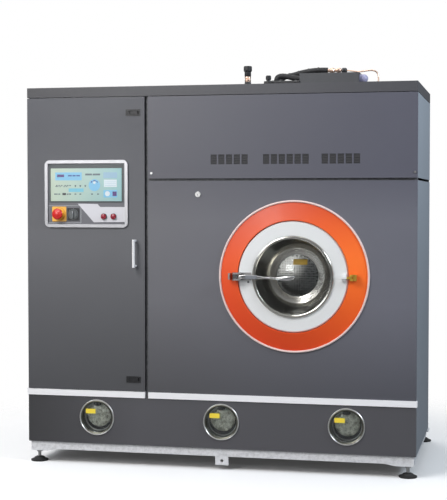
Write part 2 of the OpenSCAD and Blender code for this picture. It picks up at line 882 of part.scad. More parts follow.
// Everything behind the orange ring's face, a little larger
module orange_envelope() {
    turned(door_x, door_z) polygon([
        [orange_in_r - fit_gap, 20], [orange_in_r - fit_gap, -orange_h - fit_gap],
        [orange_in_r + ring_t, -orange_h - fit_gap], [orange_out_r, -orange_edge_h - fit_gap], [orange_out_r, 20]
    ]);
}

module door_hardware() {
    keeper_x = lever_x - lever_eye_r - 12;
    color(zinc) difference() {
        union() {
            for (s = [-1, 1]) {
                z0 = door_z + (s > 0 ? ear_gap : -hinge_h / 2);
                z1 = door_z + (s > 0 ? hinge_h / 2 : -ear_gap);
                cyl_z(hinge_x, hinge_y, z0, z1, knuckle_r);
                box(hinge_x, hinge_x + 12, hinge_y - knuckle_r, hinge_y + knuckle_r, z0, z1);
            }
            box(hinge_x + knuckle_r + 2, hinge_x + 26, hinge_y - 2, 0, door_z - hinge_h / 2, door_z + hinge_h / 2);
            cyl_z(hinge_x, hinge_y, door_z - hinge_h / 2, door_z + hinge_h / 2, hinge_pin_r);
        }
        orange_envelope();
    }
    color(black) difference() {
        box(keeper_x - 8, keeper_x, lever_y - 8, 0, door_z - 16, door_z + 16);
        orange_envelope();
    }
}

module door_gasket() {
    color(black) turned(door_x, door_z) polygon(concat(
        [[neck_r + 3, neck_y], [neck_r + 3, neck_y - 5]],
        arc(neck_r + 13, 8 + fit_gap, 8, 200, 340, 10),
        [[neck_r + 23, neck_y - 5], [neck_r + 23, neck_y]]));
}

// ---- loading door, moving pieces

module door_ring() {
    color(white) difference() {
        turned(door_x, door_z) polygon([
            [white_in_r, 0], [white_in_r, -white_h], [white_out_r - 6, -white_h],
            [white_out_r, -white_h + 6], [white_out_r, 0]
        ]);
        turned(door_x, door_z) polygon([
            [white_in_r + ring_t, -ring_t], [white_in_r + ring_t, -white_h + ring_t],
            [white_out_r - 7, -white_h + ring_t], [white_out_r - ring_t, -white_h + 7],
            [white_out_r - ring_t, -ring_t]
        ]);
        for (r = [white_in_r + 6, white_in_r + 10]) turned(door_x, door_z)
            translate([r, -white_h - 1]) square([1.2, 1.8]);
    }
}

module door_bowl() {
    bead_y = -white_h - 1;
    color(bright) turned(door_x, door_z, 160) polygon(concat(
        [[bead_c + bead_r, -white_h]],
        arc(bead_c, bead_y, bead_r, 0, -180, 16),
        [[throat_r, throat_y], [view_r, view_y], [view_r, view_y + bowl_t],
         [throat_r + bowl_t, throat_y + bowl_t], [bead_c - bead_r + bowl_t + 1, -white_h]]));
}

module door_glass() {
    y0 = view_y + bowl_t + fit_gap;
    // domed towards the user, flat where it is clamped
    edge_r = view_r - 4;
    dome_r = (edge_r * edge_r + glass_dome * glass_dome) / (2 * glass_dome);
    half = asin(edge_r / dome_r);
    color([0.75, 0.85, 0.88, 0.4]) turned(door_x, door_z, 96) polygon(concat(
        arc(0, y0 + dome_r - glass_dome, dome_r, -90, -90 + half, 12), [[glass_r, y0], [glass_r, y0 + glass_t]],
        arc(0, y0 + dome_r - glass_dome, dome_r - glass_t, -90 + half * 0.94, -90, 12)));
}

module glass_clamp() {
    y0 = view_y + bowl_t + fit_gap;
    y1 = y0 + glass_t + fit_gap;
    r0 = glass_r + fit_gap;
    color(steel) turned(door_x, door_z) polygon([
        [view_r - 2, y1 + clamp_t], [view_r - 2, y1], [r0, y1],
        [r0, y0 - 3], [r0 + clamp_t, y0 - 3], [r0 + clamp_t, y1 + clamp_t]
    ]);
}

module door_arm() {
    half = lever_eye_h / 2 + fit_gap;
    ear = 8;
    plate_x1 = door_x - white_in_r - 8;
    color(zinc) difference() {
        union() {
            cyl_z(hinge_x, hinge_y, door_z - ear_gap + fit_gap, door_z + ear_gap - fit_gap, knuckle_r);
            box(door_x + white_out_r - 32, hinge_x, hinge_y - knuckle_r, hinge_y + 2,
                door_z - ear_gap + fit_gap, door_z + ear_gap - fit_gap);
            box(door_x + white_out_r - 32, door_x + white_out_r - 8, hinge_y, -white_h,
                door_z - hinge_h / 2, door_z + hinge_h / 2);
        }
        cyl_z(hinge_x, hinge_y, door_z - hinge_h, door_z + hinge_h, hinge_pin_r + run_gap);
    }
    color(bright) union() {
        box(door_x - white_out_r + 6, plate_x1, -white_h - 4, -white_h, door_z - half - ear, door_z + half + ear);
        for (z0 = [door_z - half - ear, door_z + half]) {
            box(lever_x, door_x - white_out_r + 20, lever_y - lever_eye_r, -white_h - 3.5, z0, z0 + ear);
            cyl_z(lever_x, lever_y, z0, z0 + ear, lever_eye_r);
        }
        cyl_z(lever_x, lever_y, door_z - half - ear, door_z + half + ear, lever_pin_r);
    }
}

module door_lever() {
    bar_x = lever_x + 130;
    color(bright) difference() {
        union() {
            cyl_z(lever_x, lever_y, door_z - lever_eye_h / 2, door_z + lever_eye_h / 2, lever_eye_r);
            translate([lever_x, lever_y, door_z]) rotate([0, lever_tilt, 0]) {
                translate([0, -lever_t / 2, -10]) cube([bar_x - lever_x, lever_t, 20]);
                rod([bar_x - lever_x - 4, 0, 0], [lever_l - 70, -6, 0], lever_t / 2 + 1);
                translate([lever_l - 72, -6, 0]) rotate([0, 90, 0]) rotate_extrude($fn = 48)
                    polygon([[0, -14], [lever_t / 2 + 1, -10], [grip_t / 2, 22], [grip_t / 2, 40],
                             [grip_t / 2 - 3, 62], [0, 72]]);
            }
        }
        cyl_z(lever_x, lever_y, door_z - lever_eye_h, door_z + lever_eye_h, lever_pin_r + run_gap);
    }
}

// ---- tub, drum and drive

module air_stub(side, grow) {
    x = door_x + side * stub_off;
    box(x - stub_w / 2 + grow, x + stub_w / 2 - grow, stub_y0 + grow, stub_y0 + stub_d - grow,
        door_z + 300, duct_z0 + (grow > 0 ? 1 : 0));
}

module tub() {
    r_in = tub_r - tub_t;
    color(steel) difference() {
        union() {
            cyl_y(door_x, door_z, tub_y, tub_back, tub_r, $fn = 128);
            cyl_y(door_x, door_z, neck_y, tub_y + 1, neck_r + neck_t);
            cyl_y(door_x, door_z, neck_y, neck_y + 4, neck_r + 34);
            cyl_y(door_x, door_z, tub_back - 1, housing_end, housing_r);
            for (a = [45 : 90 : 315]) translate([door_x, tub_back - 1, door_z]) rotate([0, a, 0])
                translate([0, 0, -5]) cube([260, 40, 10]);
            for (s = [-1, 1]) air_stub(s, 0);
            cyl_z(door_x, tub_y + 200, door_z - tub_r - 52, door_z - tub_r + 20, drain_r);
        }
        cyl_y(door_x, door_z, tub_y + tub_t, tub_back - tub_t, r_in, $fn = 128);
        cyl_y(door_x, door_z, neck_y - 1, tub_y + tub_t + 1, neck_r);
        cyl_y(door_x, door_z, tub_back - 20, housing_end + 1, shaft_r + 4);
        for (y = [tub_back + 4, housing_end - bearing_w])
            cyl_y(door_x, door_z, y, y + bearing_w + (y > tub_back + 4 ? 1 : 0), bearing_r + run_gap);
        for (s = [-1, 1]) air_stub(s, tub_t);
        cyl_z(door_x, tub_y + 200, door_z - tub_r - 60, door_z - tub_r + 40, drain_r - 3);
    }
}

module drum() {
    inner_r = drum_r - drum_t;
    front_y = drum_y0 + drum_t;
    back_y = drum_y1 - 2 * drum_t;
    color(bright) {
        turned(door_x, door_z) polygon([
            [0, drum_y1], [drum_r, drum_y1], [drum_r, drum_y0], [drum_mouth_r, drum_y0],
            [drum_mouth_r, drum_y0 + 14], [drum_mouth_r + 4, drum_y0 + 14], [drum_mouth_r + 4, front_y],
            [inner_r, front_y], [inner_r, back_y], [0, back_y]
        ]);
        for (a = [90, 210, 330]) translate([door_x, back_y + 1, door_z]) rotate([0, -a, 0]) rotate([90, 0, 0])
            linear_extrude(back_y - front_y + 2) polygon(concat(
                [[drum_r - lifter_h, -14], [drum_r - lifter_h, 14]], arc(0, 0, inner_r + 1, 8, -8, 8)));
    }
}

module drum_shaft() {
    color(steel) {
        cyl_y(door_x, door_z, drum_y1, drum_y1 + drum_end_gap - 3, 105);
        cyl_y(door_x, door_z, drum_y1, pulley_y + pulley_w + 6, shaft_r - run_gap);
    }
}

module drum_bearings() {
    color(bright) for (y = [tub_back + 4, housing_end - bearing_w]) difference() {
        cyl_y(door_x, door_z, y, y + bearing_w, bearing_r);
        cyl_y(door_x, door_z, y - 1, y + bearing_w + 1, shaft_r);
        // the gap between the races, seen from the end
        difference() {
            cyl_y(door_x, door_z, y - 1, y + 4, bearing_r - 8);
            cyl_y(door_x, door_z, y - 2, y + 5, shaft_r + 7);
        }
    }
}

module drum_pulley() {
    color(steel) difference() {
        union() {
            cyl_y(door_x, door_z, pulley_y, pulley_y + pulley_w, drum_pulley_r, $fn = 96);
            cyl_y(door_x, door_z, pulley_y - 6, pulley_y + pulley_w, shaft_r + 22);
        }
        // belt seat
        difference() {
            cyl_y(door_x, door_z, belt_y - 1, belt_y + belt_w + 1, drum_pulley_r + 1, $fn = 96);
            cyl_y(door_x, door_z, belt_y - 2, belt_y + belt_w + 2, drum_pulley_r - groove_d, $fn = 96);
        }
        // hollow web with five round holes
        for (y = [pulley_y - 1, pulley_y + pulley_w - 9]) difference() {
            cyl_y(door_x, door_z, y, y + 10, drum_pulley_r - 22);
            cyl_y(door_x, door_z, y - 1, y + 11, shaft_r + 22);
        }
        for (a = [0 : 72 : 288])
            translate([door_x, 0, door_z]) rotate([0, a, 0]) cyl_y(115, 0, pulley_y - 1, pulley_y + pulley_w + 1, 34);
        cyl_y(door_x, door_z, pulley_y - 7, pulley_y + pulley_w + 1, shaft_r);
    }
}

module drive_motor() {
    y0 = motor_y1 - motor_l;
    color(blue) difference() {
        union() {
            cyl_y(motor_x, motor_z, y0, motor_y1, motor_r);
            cyl_y(motor_x, motor_z, motor_y1, motor_y1 + 8, motor_r - 30);
            for (y = [y0 + 30, motor_y1 - 60])
                box(motor_x - motor_r, motor_x + motor_r, y, y + 40, deck_z1, motor_z - motor_r * 0.4);
            box(motor_x - 45, motor_x + 45, y0 + 60, y0 + 150, motor_z + motor_r - 15, motor_z + motor_r + 28);
            // cooling fins
            for (a = [0 : 20 : 340]) translate([motor_x, 0, motor_z]) rotate([0, a, 0])
                box(motor_r - 4, motor_r + 5, y0 + 24, motor_y1 - 13, -1.5, 1.5);
        }
        box(motor_x - motor_r - 10, motor_x + motor_r + 10, y0 - 1, motor_y1 + 20, deck_z0, deck_z1);
        cyl_y(motor_x, motor_z, motor_y1 - 60, motor_y1 + 9, motor_shaft_r + run_gap);
    }
}

module motor_pulley() {
    color(steel) difference() {
        union() {
            cyl_y(motor_x, motor_z, pulley_y, pulley_y + pulley_w, motor_pulley_r);
            cyl_y(motor_x, motor_z, motor_y1 - 55, pulley_y + pulley_w + 4, motor_shaft_r);
        }
        difference() {
            cyl_y(motor_x, motor_z, belt_y - 1, belt_y + belt_w + 1, motor_pulley_r + 1);
            cyl_y(motor_x, motor_z, belt_y - 2, belt_y + belt_w + 2, motor_pulley_r - groove_d);
        }
    }
}

// The belt's path round both pulleys, as one closed outline
module belt_outline(grow) {
    r1 = drum_pulley_r - groove_d + fit_gap + grow;
    r2 = motor_pulley_r - groove_d + fit_gap + grow;
    c1 = [door_x, door_z];
    c2 = [motor_x, motor_z];
    a = atan2(c2[1] - c1[1], c2[0] - c1[0]);
    lean = acos((r1 - r2) / norm(c2 - c1));
    polygon(concat(arc(c1[0], c1[1], r1, a + lean, a + 360 - lean, 60), arc(c2[0], c2[1], r2, a - lean, a + lean, 30)));
}

module drive_belt() {
    color(black) difference() {
        slab(belt_y, belt_y + belt_w) belt_outline(belt_t);
        slab(belt_y - 1, belt_y + belt_w + 1) belt_outline(0);
    }
}

// ---- solvent side

module solvent_tank(x0, x1, port) {
    difference() {
        box(x0, x1, tank_y, rear_post_y - 4, frame_top, plinth_top);
        box(x0 + tank_t, x1 - tank_t, tank_y + tank_t, rear_post_y - 4 - tank_t,
            frame_top + tank_t, plinth_top - tank_t);
    }
    // dished steel cover seen through the port, with its filler neck
    turned(port, port_height) polygon(concat(
        [[0, tank_y], [0, tank_y - 22]],
        arc(0, tank_y + 60, 82, -90, -50, 8),
        [[cover_r, tank_y - 6], [cover_r, tank_y]]));
}

module solvent_tanks() {
    x1 = inner_x - post - 3;
    w = (2 * x1 - 2 * tank_gap) / 3;
    color(steel) for (i = [0 : 2])
        solvent_tank(-x1 + i * (w + tank_gap), -x1 + i * (w + tank_gap) + w, port_xs[i]);
}

module sight_rings() {
    r_out = port_tube_r - fit_gap;
    r_in = r_out - port_tube_t;
    color(bright) for (x = port_xs) turned(x, port_height) polygon([
        [port_r, 0], [port_r, -port_h + 2], [port_r - 2, -port_h], [port_tube_r + 2, -port_h],
        [port_tube_r - 4, -port_h + 4], [r_in - 4, -port_h + 4], [r_in - 4, 0], [r_in, 0],
        [r_in, tank_y], [r_out, tank_y], [r_out, 0]
    ]);
}

module sight_glasses() {
    r = port_tube_r - 2 * fit_gap - port_tube_t;
    color([0.80, 0.88, 0.90, 0.35]) for (x = port_xs)
        cyl_y(x, port_height, fit_gap, fit_gap + port_glass_t, r, $fn = 96);
}

module solvent_pump() {
    pump_x = -110;
    pump_y = tub_y + 180;
    pump_z = deck_z1 + 12 + pump_r + 14;
    trap_z1 = door_z - tub_r - 52;
    color(blue) {
        // motor with its foot, and the pump's volute with the suction pipe
        box(pump_x - 210, pump_x - 20, pump_y - pump_r, pump_y + pump_r, deck_z1, deck_z1 + 12);
        for (x = [pump_x - 180, pump_x - 70])
            box(x, x + 30, pump_y - 40, pump_y + 40, deck_z1 + 12, pump_z - pump_r * 0.6);
        difference() {
            union() {
                cyl_x(pump_y, pump_z, pump_x - 210, pump_x, pump_r);
                cyl_x(pump_y, pump_z, pump_x, pump_x + 46, pump_r + 12);
                cyl_x(pump_y, pump_z, pump_x + 45, door_x - 75, suction_r);
                cyl_z(pump_x + 23, pump_y + 30, pump_z + 20, pump_z + pump_r + 60, suction_r - 3);
            }
            for (x = [pump_x - 180, pump_x - 70])
                box(x - fit_gap, x + 30 + fit_gap, pump_y - 41, pump_y + 41, deck_z1, pump_z - pump_r * 0.6 + fit_gap);
        }
        // button trap under the tub's drain, on four legs
        box(door_x - 75, door_x + 75, pump_y - 70, pump_y + 90, pump_z - suction_r - 8, trap_z1);
        for (x = [door_x - 70, door_x + 54], y = [pump_y - 62, pump_y + 70])
            box(x, x + 16, y, y + 16, deck_z1, pump_z - suction_r - 8);
        difference() {
            box(door_x - 60, door_x + 60, pump_y - 78, pump_y - 70, pump_z - suction_r + 4, trap_z1 - 10);
            for (x = [door_x - 48, door_x + 48])
                cyl_y(x, (pump_z + trap_z1) / 2, pump_y - 79, pump_y - 69, 4);
        }
    }
}

module dome_profile(h, r) {
    polygon(concat([[0, 0], [r, 0], [r, h]], [for (i = [1 : 10]) [r * cos(i * 9), h + r * 0.32 * sin(i * 9)]]));
}

// A hollow steel vessel with a domed top
module domed_vessel(x, y, z0, h, r) {
    translate([x, y, z0]) rotate_extrude($fn = 96) difference() {
        dome_profile(h, r);
        translate([0, vessel_wall]) dome_profile(h - vessel_wall, r - vessel_wall);
    }
}

module solvent_filter() {
    x = main_x0 + 120;
    y = tub_y + 400;
    color(steel) {
        domed_vessel(x, y, deck_z1, filter_h, filter_r);
        difference() {
            cyl_z(x, y, deck_z1 + filter_h - 30, deck_z1 + filter_h, filter_r + 16);
            cyl_z(x, y, deck_z1 + filter_h - 31, deck_z1 + filter_h + 1, filter_r + fit_gap);
        }
    }
}

module still() {
    x = -half_w + 310;
    y = rear_post_y - still_r - 20;
    cx = x + still_r + column_r + 25;
    top = deck_z1 + still_h + still_r * 0.32;
    color(steel) {
        domed_vessel(x, y, deck_z1, still_h, still_r);
        domed_vessel(cx, y, deck_z1, column_h, column_r);
    }
    // vapour pipe between the still and the condenser column
    color(steel) difference() {
        pipe_run([[x, y, top - 6], [x, y, top + 110], [cx, y, top + 110]], 28);
        translate([x, y, deck_z1]) rotate_extrude($fn = 96) dome_profile(still_h + fit_gap, still_r + fit_gap);
        cyl_z(cx, y, deck_z1, deck_z1 + column_h, column_r + fit_gap);
    }
}

module water_separator() {
    x = main_x0 + 120;
    y = rear_post_y - separator_r - 12;
    color(steel) {
        domed_vessel(x, y, deck_z1 + 60, separator_h, separator_r);
        for (a = [45 : 90 : 315])
            cyl_z(x + (separator_r - 16) * cos(a), y + (separator_r - 16) * sin(a), deck_z1, deck_z1 + 60, 9);
    }
}

// ---- air system

module duct_block(grow) {
    coil_x0 = door_x - stub_off - 230;
    coil_x1 = door_x + stub_off - 100;
    y0 = stub_y0 + grow;
    y1 = stub_y0 + stub_d - grow;
    box(coil_x0 + grow, coil_x1 - grow, y0, y1, coil_z0 + grow, coil_z0 + coil_box_h - grow);
    cyl_y(fan_x, fan_z, fan_y0 + grow, fan_y0 + fan_depth - grow, fan_housing_r - grow, $fn = 96);
    box(coil_x1 - 40, fan_x, fan_y0 + grow, fan_y0 + fan_depth - grow,
        fan_z + 20 + grow, fan_z + fan_housing_r - 10 - grow);
    for (s = [-1, 1]) {
        x = door_x + s * stub_off;
        box(x - stub_w / 2 + grow, x + stub_w / 2 - grow, y0, y1,
            duct_z0 - (grow > 0 ? 1 : 0), coil_z0 + (s < 0 ? 40 : 60));
    }
}

module air_duct() {
    coil_x0 = door_x - stub_off - 230;
    wall = 3;
    color(steel) {
        difference() {
            duct_block(0);
            duct_block(wall);
            cyl_y(fan_x, fan_z, fan_y0 + fan_depth - wall - 1, fan_y0 + fan_depth + 1, 30);
        }
        // cooling coil and heating coil on the floor of the coil box
        for (x = [coil_x0 + 40, coil_x0 + 150])
            box(x, x + 60, stub_y0 + 6, stub_y0 + stub_d - 6, coil_z0 + wall, coil_z0 + coil_box_h - 30);
        // lint filter cassette at the top of the right-hand stub
        box(door_x + stub_off - stub_w / 2 + wall + fit_gap, door_x + stub_off + stub_w / 2 - wall - fit_gap,
            stub_y0 + wall + fit_gap, stub_y0 + stub_d - wall - fit_gap, duct_z0 + fit_gap, duct_z0 + 40);
    }
}

module fan_wheel() {
    y0 = fan_y0 + 16;
    y1 = fan_y0 + fan_depth - 16;
    color(steel) {
        cyl_y(fan_x, fan_z, y1 - 4, y1, fan_r);
        cyl_y(fan_x, fan_z, y1 - 40, y1 - 2, 26);
        cyl_y(fan_x, fan_z, y1 - 1, fan_y0 + fan_depth + 30, motor_shaft_r - 4);
        difference() {
            cyl_y(fan_x, fan_z, y0, y0 + 4, fan_r);
            cyl_y(fan_x, fan_z, y0 - 1, y0 + 5, fan_r - 34);
        }
        for (i = [0 : fan_blades - 1]) translate([fan_x, 0, fan_z]) rotate([0, i * 360 / fan_blades, 0])
            translate([fan_r - 18, 0, 0]) rotate([0, 35, 0]) box(-14, 14, y0 + 1, y1 - 1, -1.5, 1.5);
    }
}

module fan_motor() {
    y0 = fan_y0 + fan_depth;
    color(blue) difference() {
        union() {
            cyl_y(fan_x, fan_z, y0, y0 + 8, fan_motor_r + 18);
            cyl_y(fan_x, fan_z, y0 + 7, y0 + fan_motor_l, fan_motor_r);
            box(fan_x - 30, fan_x + 30, y0 + 50, y0 + 120, fan_z + fan_motor_r - 10, fan_z + fan_motor_r + 26);
        }
        cyl_y(fan_x, fan_z, y0 - 1, y0 + 34, motor_shaft_r - 4 + run_gap);
    }
}

module compressor() {
    x = 330;
    y = casing_d + rear_d / 2;
    z0 = frame_top + 4 + sheet;
    color(black) {
        // rubber-footed base rails
        for (s = [-1, 1]) box(x - 110, x + 110, y + s * 60 - 12, y + s * 60 + 12, z0, z0 + 20);
        domed_vessel(x, y, z0 + 20, compressor_h, compressor_r);
        domed_vessel(x - 190, y, z0, compressor_h * 1.1, compressor_r * 0.6);
    }
}

// ---- electric cabinet

module electrics() {
    x0 = -inner_x + post + fit_gap;
    x1 = gap_x - post / 2 - fit_gap;
    y0 = side_post_y + post + 2;
    y1 = 300;
    z0 = deck_z1;
    z1 = rail_z0 - 4;
    in_x0 = x0 + sheet + weld_gap;
    in_x1 = x1 - sheet - weld_gap;
    in_y1 = y1 - sheet - weld_gap;
    plate_y = y1 - 14;
    face_y = plate_y - 3 - weld_gap;
    color(steel) {
        // five sheets of the cabinet
        box(x0, x0 + sheet, y0, y1, z0, z1);
        box(x1 - sheet, x1, y0, y1, z0, z1);
        box(in_x0, in_x1, y1 - sheet, y1, z0, z1);
        for (z = [z0, z1 - sheet]) box(in_x0, in_x1, y0, in_y1, z, z + sheet);
        // mounting plate on four pillars
        box(x0 + 25, x1 - 25, plate_y - 3, plate_y, z0 + 40, z1 - 40);
        for (x = [x0 + 50, x1 - 50], z = [z0 + 80, z1 - 80]) cyl_y(x, z, plate_y + weld_gap, in_y1, 8);
    }
    // drive inverter, controller, transformer
    color(grey) {
        box(x0 + 60, x0 + 220, face_y - 140, face_y, z0 + 860, z0 + 1120);
        box(x0 + 260, x1 - 60, face_y - 75, face_y, z0 + 900, z0 + 1080);
        box(x0 + 60, x0 + 210, face_y - 120, face_y, z0 + 90, z0 + 230);
    }
    // three rows of relays on rails, with wiring ducts between
    for (z = [z0 + 300 : 180 : z0 + 660]) {
        color(bright) box(x0 + 40, x1 - 40, face_y - 45, face_y, z - 60, z - 20);
        color(black) {
            box(x0 + 40, x1 - 40, face_y - 8, face_y, z + 26, z + 61);
            for (x = [x0 + 60 : 62 : x0 + 432]) box(x, x + 46, face_y - 80, face_y - 7, z, z + 86);
        }
    }
}

module cabinet_door() {
    z0 = strip_top + 2;
    color(grey) difference() {
        union() {
            tray(-half_w, cab_x1, z0, upper_top, hem);
            for (z = cab_hinge_zs) {
                cyl_z(cab_axis_x, cab_pin_in, z - knuckle_half, z + knuckle_half, cab_pin_in - sheet);
                box(-half_w + sheet + fit_gap, cab_axis_x + 8, sheet - tiny, cab_pin_in, z - knuckle_half, z + knuckle_half);
            }
        }
        for (z = cab_hinge_zs) {
            cyl_z(cab_axis_x, cab_pin_in, z - knuckle_half - 1, z + knuckle_half + 1, cab_pin_r + run_gap);
            box(-half_w - 1, -half_w + sheet + fit_gap, sheet, hem + 1, z - knuckle_half - 16, z + knuckle_half + 16);
        }
        panel_cutouts(-1, sheet + 1);
        for (z = [handle_z + handle_r, handle_z + handle_l - handle_r])
            cyl_y(handle_x, z, -1, sheet + 1, 3 + fit_gap);
        for (z = [latch_low_z, latch_high_z])
            box(latch_x + 4, latch_x + latch_w - 4, -1, sheet + 1, z + 4, z + latch_h - 4);
    }
}

// Holes behind the screen, emergency stop, selector and buttons
module panel_cutouts(y0, y1) {
    box(screen_x + 14, screen_x + screen_w - 14, y0, y1, screen_z + 12, screen_z + screen_h - 12);
    cyl_y(estop_x, estop_z, y0, y1, stem_r + 3 + fit_gap);
    cyl_y(selector_x, selector_z, y0, y1, 5 + fit_gap);
    for (x = [start_x, stop_x]) cyl_y(x, button_z, y0, y1, 7 + fit_gap);
}

module door_bezel() {
    color(bright) difference() {
        slab(-bezel_proud, 0) translate([bezel_x, bezel_z]) rounded(bezel_w, bezel_h, bezel_corner);
        slab(-bezel_proud - 1, 1) translate([bezel_x + bezel_bar, bezel_z + bezel_bar])
            rounded(bezel_w - 2 * bezel_bar, bezel_h - 2 * bezel_bar, bezel_corner - bezel_bar);
    }
    color(grey) difference() {
        slab(face_y, 0) translate([bezel_x + bezel_bar + fit_gap, bezel_z + bezel_bar + fit_gap])
            rounded(bezel_w - 2 * bezel_bar - 2 * fit_gap, bezel_h - 2 * bezel_bar - 2 * fit_gap,
                    bezel_corner - bezel_bar - fit_gap);
        panel_cutouts(face_y - 1, 1);
    }
}

module touch_screen() {
    color([0.60, 0.78, 0.80]) {
        box(screen_x, screen_x + screen_w, face_y - 3, face_y, screen_z, screen_z + screen_h);
        box(screen_x + 14 + fit_gap, screen_x + screen_w - 14 - fit_gap, face_y - 1, screen_d,
            screen_z + 12 + fit_gap, screen_z + screen_h - 12 - fit_gap);
    }
}

module control_plate() {
    right = bezel_w - bezel_bar - 1;
    color(white) difference() {
        slab(white_face, face_y) translate([bezel_x, bezel_z]) polygon([
            [177, 121], [283, 119], [297, 104], [right, 104], [right, 28], [263, 26]
        ]);
        for (x = [start_x, stop_x]) cyl_y(x, button_z, white_face - 1, face_y + 1, 7 + fit_gap);
    }
}

module estop_base() {
    half = estop_plate / 2;
    color([0.92, 0.70, 0.12]) difference() {
        union() {
            slab(face_y - 3, face_y) translate([estop_x - half, estop_z - half]) rounded(estop_plate, estop_plate, 3);
            cyl_y(estop_x, estop_z, face_y - 13, face_y - 2, stem_r + 9);
            cyl_y(estop_x, estop_z, face_y - 1, 20, stem_r + 3);
        }
        cyl_y(estop_x, estop_z, face_y - 14, 21, stem_r + run_gap);
    }
}

module estop_stem() {
    y0 = face_y - 13 - estop_travel - 6;
    color(black) {
        cyl_y(estop_x, estop_z, y0, 13, stem_r);
        cyl_y(estop_x, estop_z, y0 - 12, y0 + 1, 6);
    }
}

module estop_knob() {
    y0 = face_y - 13 - estop_travel - 6;
    color([0.80, 0.10, 0.08]) difference() {
        turned(estop_x, estop_z) polygon([
            [0, y0 - fit_gap], [estop_r - 12, y0 - fit_gap], [estop_r, y0 - 6], [estop_r, y0 - 10],
            [estop_r - 4, y0 - estop_t + 2], [estop_r - 14, y0 - estop_t], [0, y0 - estop_t - 1]
        ]);
        cyl_y(estop_x, estop_z, y0 - 12 - fit_gap, y0 + 1, 6 + run_gap);
    }
}

module selector_knob() {
    y0 = face_y - 4 - fit_gap;
    color(steel) {
        cyl_y(selector_x, selector_z, y0 - 5, y0, selector_r);
        slab(y0 - 12, y0 - 4) translate([selector_x, selector_z]) rotate(90) {
            translate([-selector_r + 3, -4.5]) square([2 * selector_r - 6, 9]);
        }
        cyl_y(selector_x, selector_z, y0 - 1, 14, 4);
    }
}

module push_button(x) {
    front = white_face - 5 - button_travel;
    cyl_y(x, button_z, front - 2, front + 5 - fit_gap, button_r - run_gap);
    cyl_y(x, button_z, front + 4, 12, 6);
}

module start_button() {
    color(lamp_red) push_button(start_x);
}

module stop_button() {
    color(lamp_red) push_button(stop_x);
}

module contact_block(x, z, bore) {
    difference() {
        cyl_y(x, z, sheet, 26, bore + 6);
        cyl_y(x, z, sheet - 1, 20, bore + 1);
    }
    box(x - 16, x + 16, 26 - tiny, 56, z - 20, z + 20);
}

module latch_housing(z) {
    difference() {
        union() {
            box(latch_x, latch_x + latch_w, -3, 0, z, z + latch_h);
            box(latch_x + 4 + fit_gap, latch_x + latch_w - 4 - fit_gap, -1, 16, z + 4 + fit_gap, z + latch_h - 4 - fit_gap);
        }
        box(latch_x + 7, latch_x + latch_w - 7, -4, 13, z + 7, z + latch_h - 7);
    }
    cyl_z(latch_x + latch_w - 14, 2, z + 6, z + latch_h - 6, 1.5);
}

module switch_blocks() {
    half = selector_plate / 2;
    color(black) {
        difference() {
            slab(face_y - 4, face_y) translate([selector_x - half, selector_z - half])
                rounded(selector_plate, selector_plate, 3);
            cyl_y(selector_x, selector_z, face_y - 5, face_y + 1, 4 + run_gap);
        }
        for (x = [start_x, stop_x]) difference() {
            cyl_y(x, button_z, white_face - 5, white_face, button_r + 1.5);
            cyl_y(x, button_z, white_face - 6, white_face + 1, button_r);
        }
        contact_block(selector_x, selector_z, 4);
        for (x = [start_x, stop_x]) contact_block(x, button_z, 6);
        contact_block(estop_x, estop_z, stem_r + 3);
        for (z = [latch_low_z, latch_high_z]) latch_housing(z);
    }
}

module bar_handle() {
    color(white) {
        cyl_z(handle_x, -handle_out, handle_z, handle_z + handle_l, handle_r);
        for (z = [handle_z + handle_r, handle_z + handle_l - handle_r]) {
            cyl_y(handle_x, z, -handle_out, 0, handle_r - 1);
            cyl_y(handle_x, z, -1, 8, 3);
        }
    }
}

module latch_paddle(z) {
    px = latch_x + latch_w - 14;
    difference() {
        union() {
            box(latch_x + 8.5, px, -2.5, 1, z + 8, z + latch_h - 8);
            cyl_z(px, 2, z + 8, z + latch_h - 8, 4);
        }
        cyl_z(px, 2, z, z + latch_h, 1.5 + run_gap);
        // finger dish at the free end
        translate([latch_x + 22, -12, z]) cylinder(h = latch_h, r = 11);
    }
}

module latch_upper() {
    color(black) latch_paddle(latch_high_z);
}

module latch_lower() {
    color(black) latch_paddle(latch_low_z);
}

// ---- roof and back

module roof_box() {
    color(grey) {
        tube_bar(box_x, box_x + box_l, roof_y, roof_y + box_d, roof, roof + box_h, sheet);
        translate([box_x + box_l, roof_y + 44, roof + box_h - drum_end_r - 8]) rotate([0, 90, 0])
            rotate_extrude() polygon(concat([[0, 0], [drum_end_r, 0]],
                arc(0, drum_end_l - drum_end_r, drum_end_r, 0, 90, 8)));
    }
}

module roof_pipes() {
    color(black) {
        // relief valve: base, body and cap, with the copper band between base and body
        cyl_z(relief_x, roof_y, roof, roof + 38, 21);
        cyl_z(relief_x, roof_y, roof + 64, roof + 93, 17);
        cyl_z(relief_x, roof_y, roof + 92, roof + relief_h, 21.5);
        // body of the small hand valve, with the low pipe that runs into the box
        difference() {
            union() {
                cyl_z(valve_x, roof_y, roof, roof + valve_base_h, 12);
                cyl_x(roof_y, low_pipe_z, valve_x - 22, box_x, low_pipe_r);
            }
            cyl_z(valve_x, roof_y, roof + valve_base_h - 20, roof + valve_base_h + 1, 5 + run_gap);
        }
        // thick insulated pipe from the lid into the box
        pipe_run([[hose_x, hose_y, roof - 16], [hose_x, hose_y, hose_z - 24],
                  [hose_x + 24, hose_y, hose_z], [box_x, hose_y, hose_z]], hose_r);
        // insulated pipe up to the copper fittings, and the solenoid coil
        pipe_run(high_route, high_r);
        translate([571, high_y, fitting_z - 2]) rotate([0, 90, 0]) rotate_extrude() polygon([
            [copper_r + fit_gap, 0], [10, 0], [15, 6], [15, 20], [10, 26], [copper_r + fit_gap, 26]
        ]);
    }
}

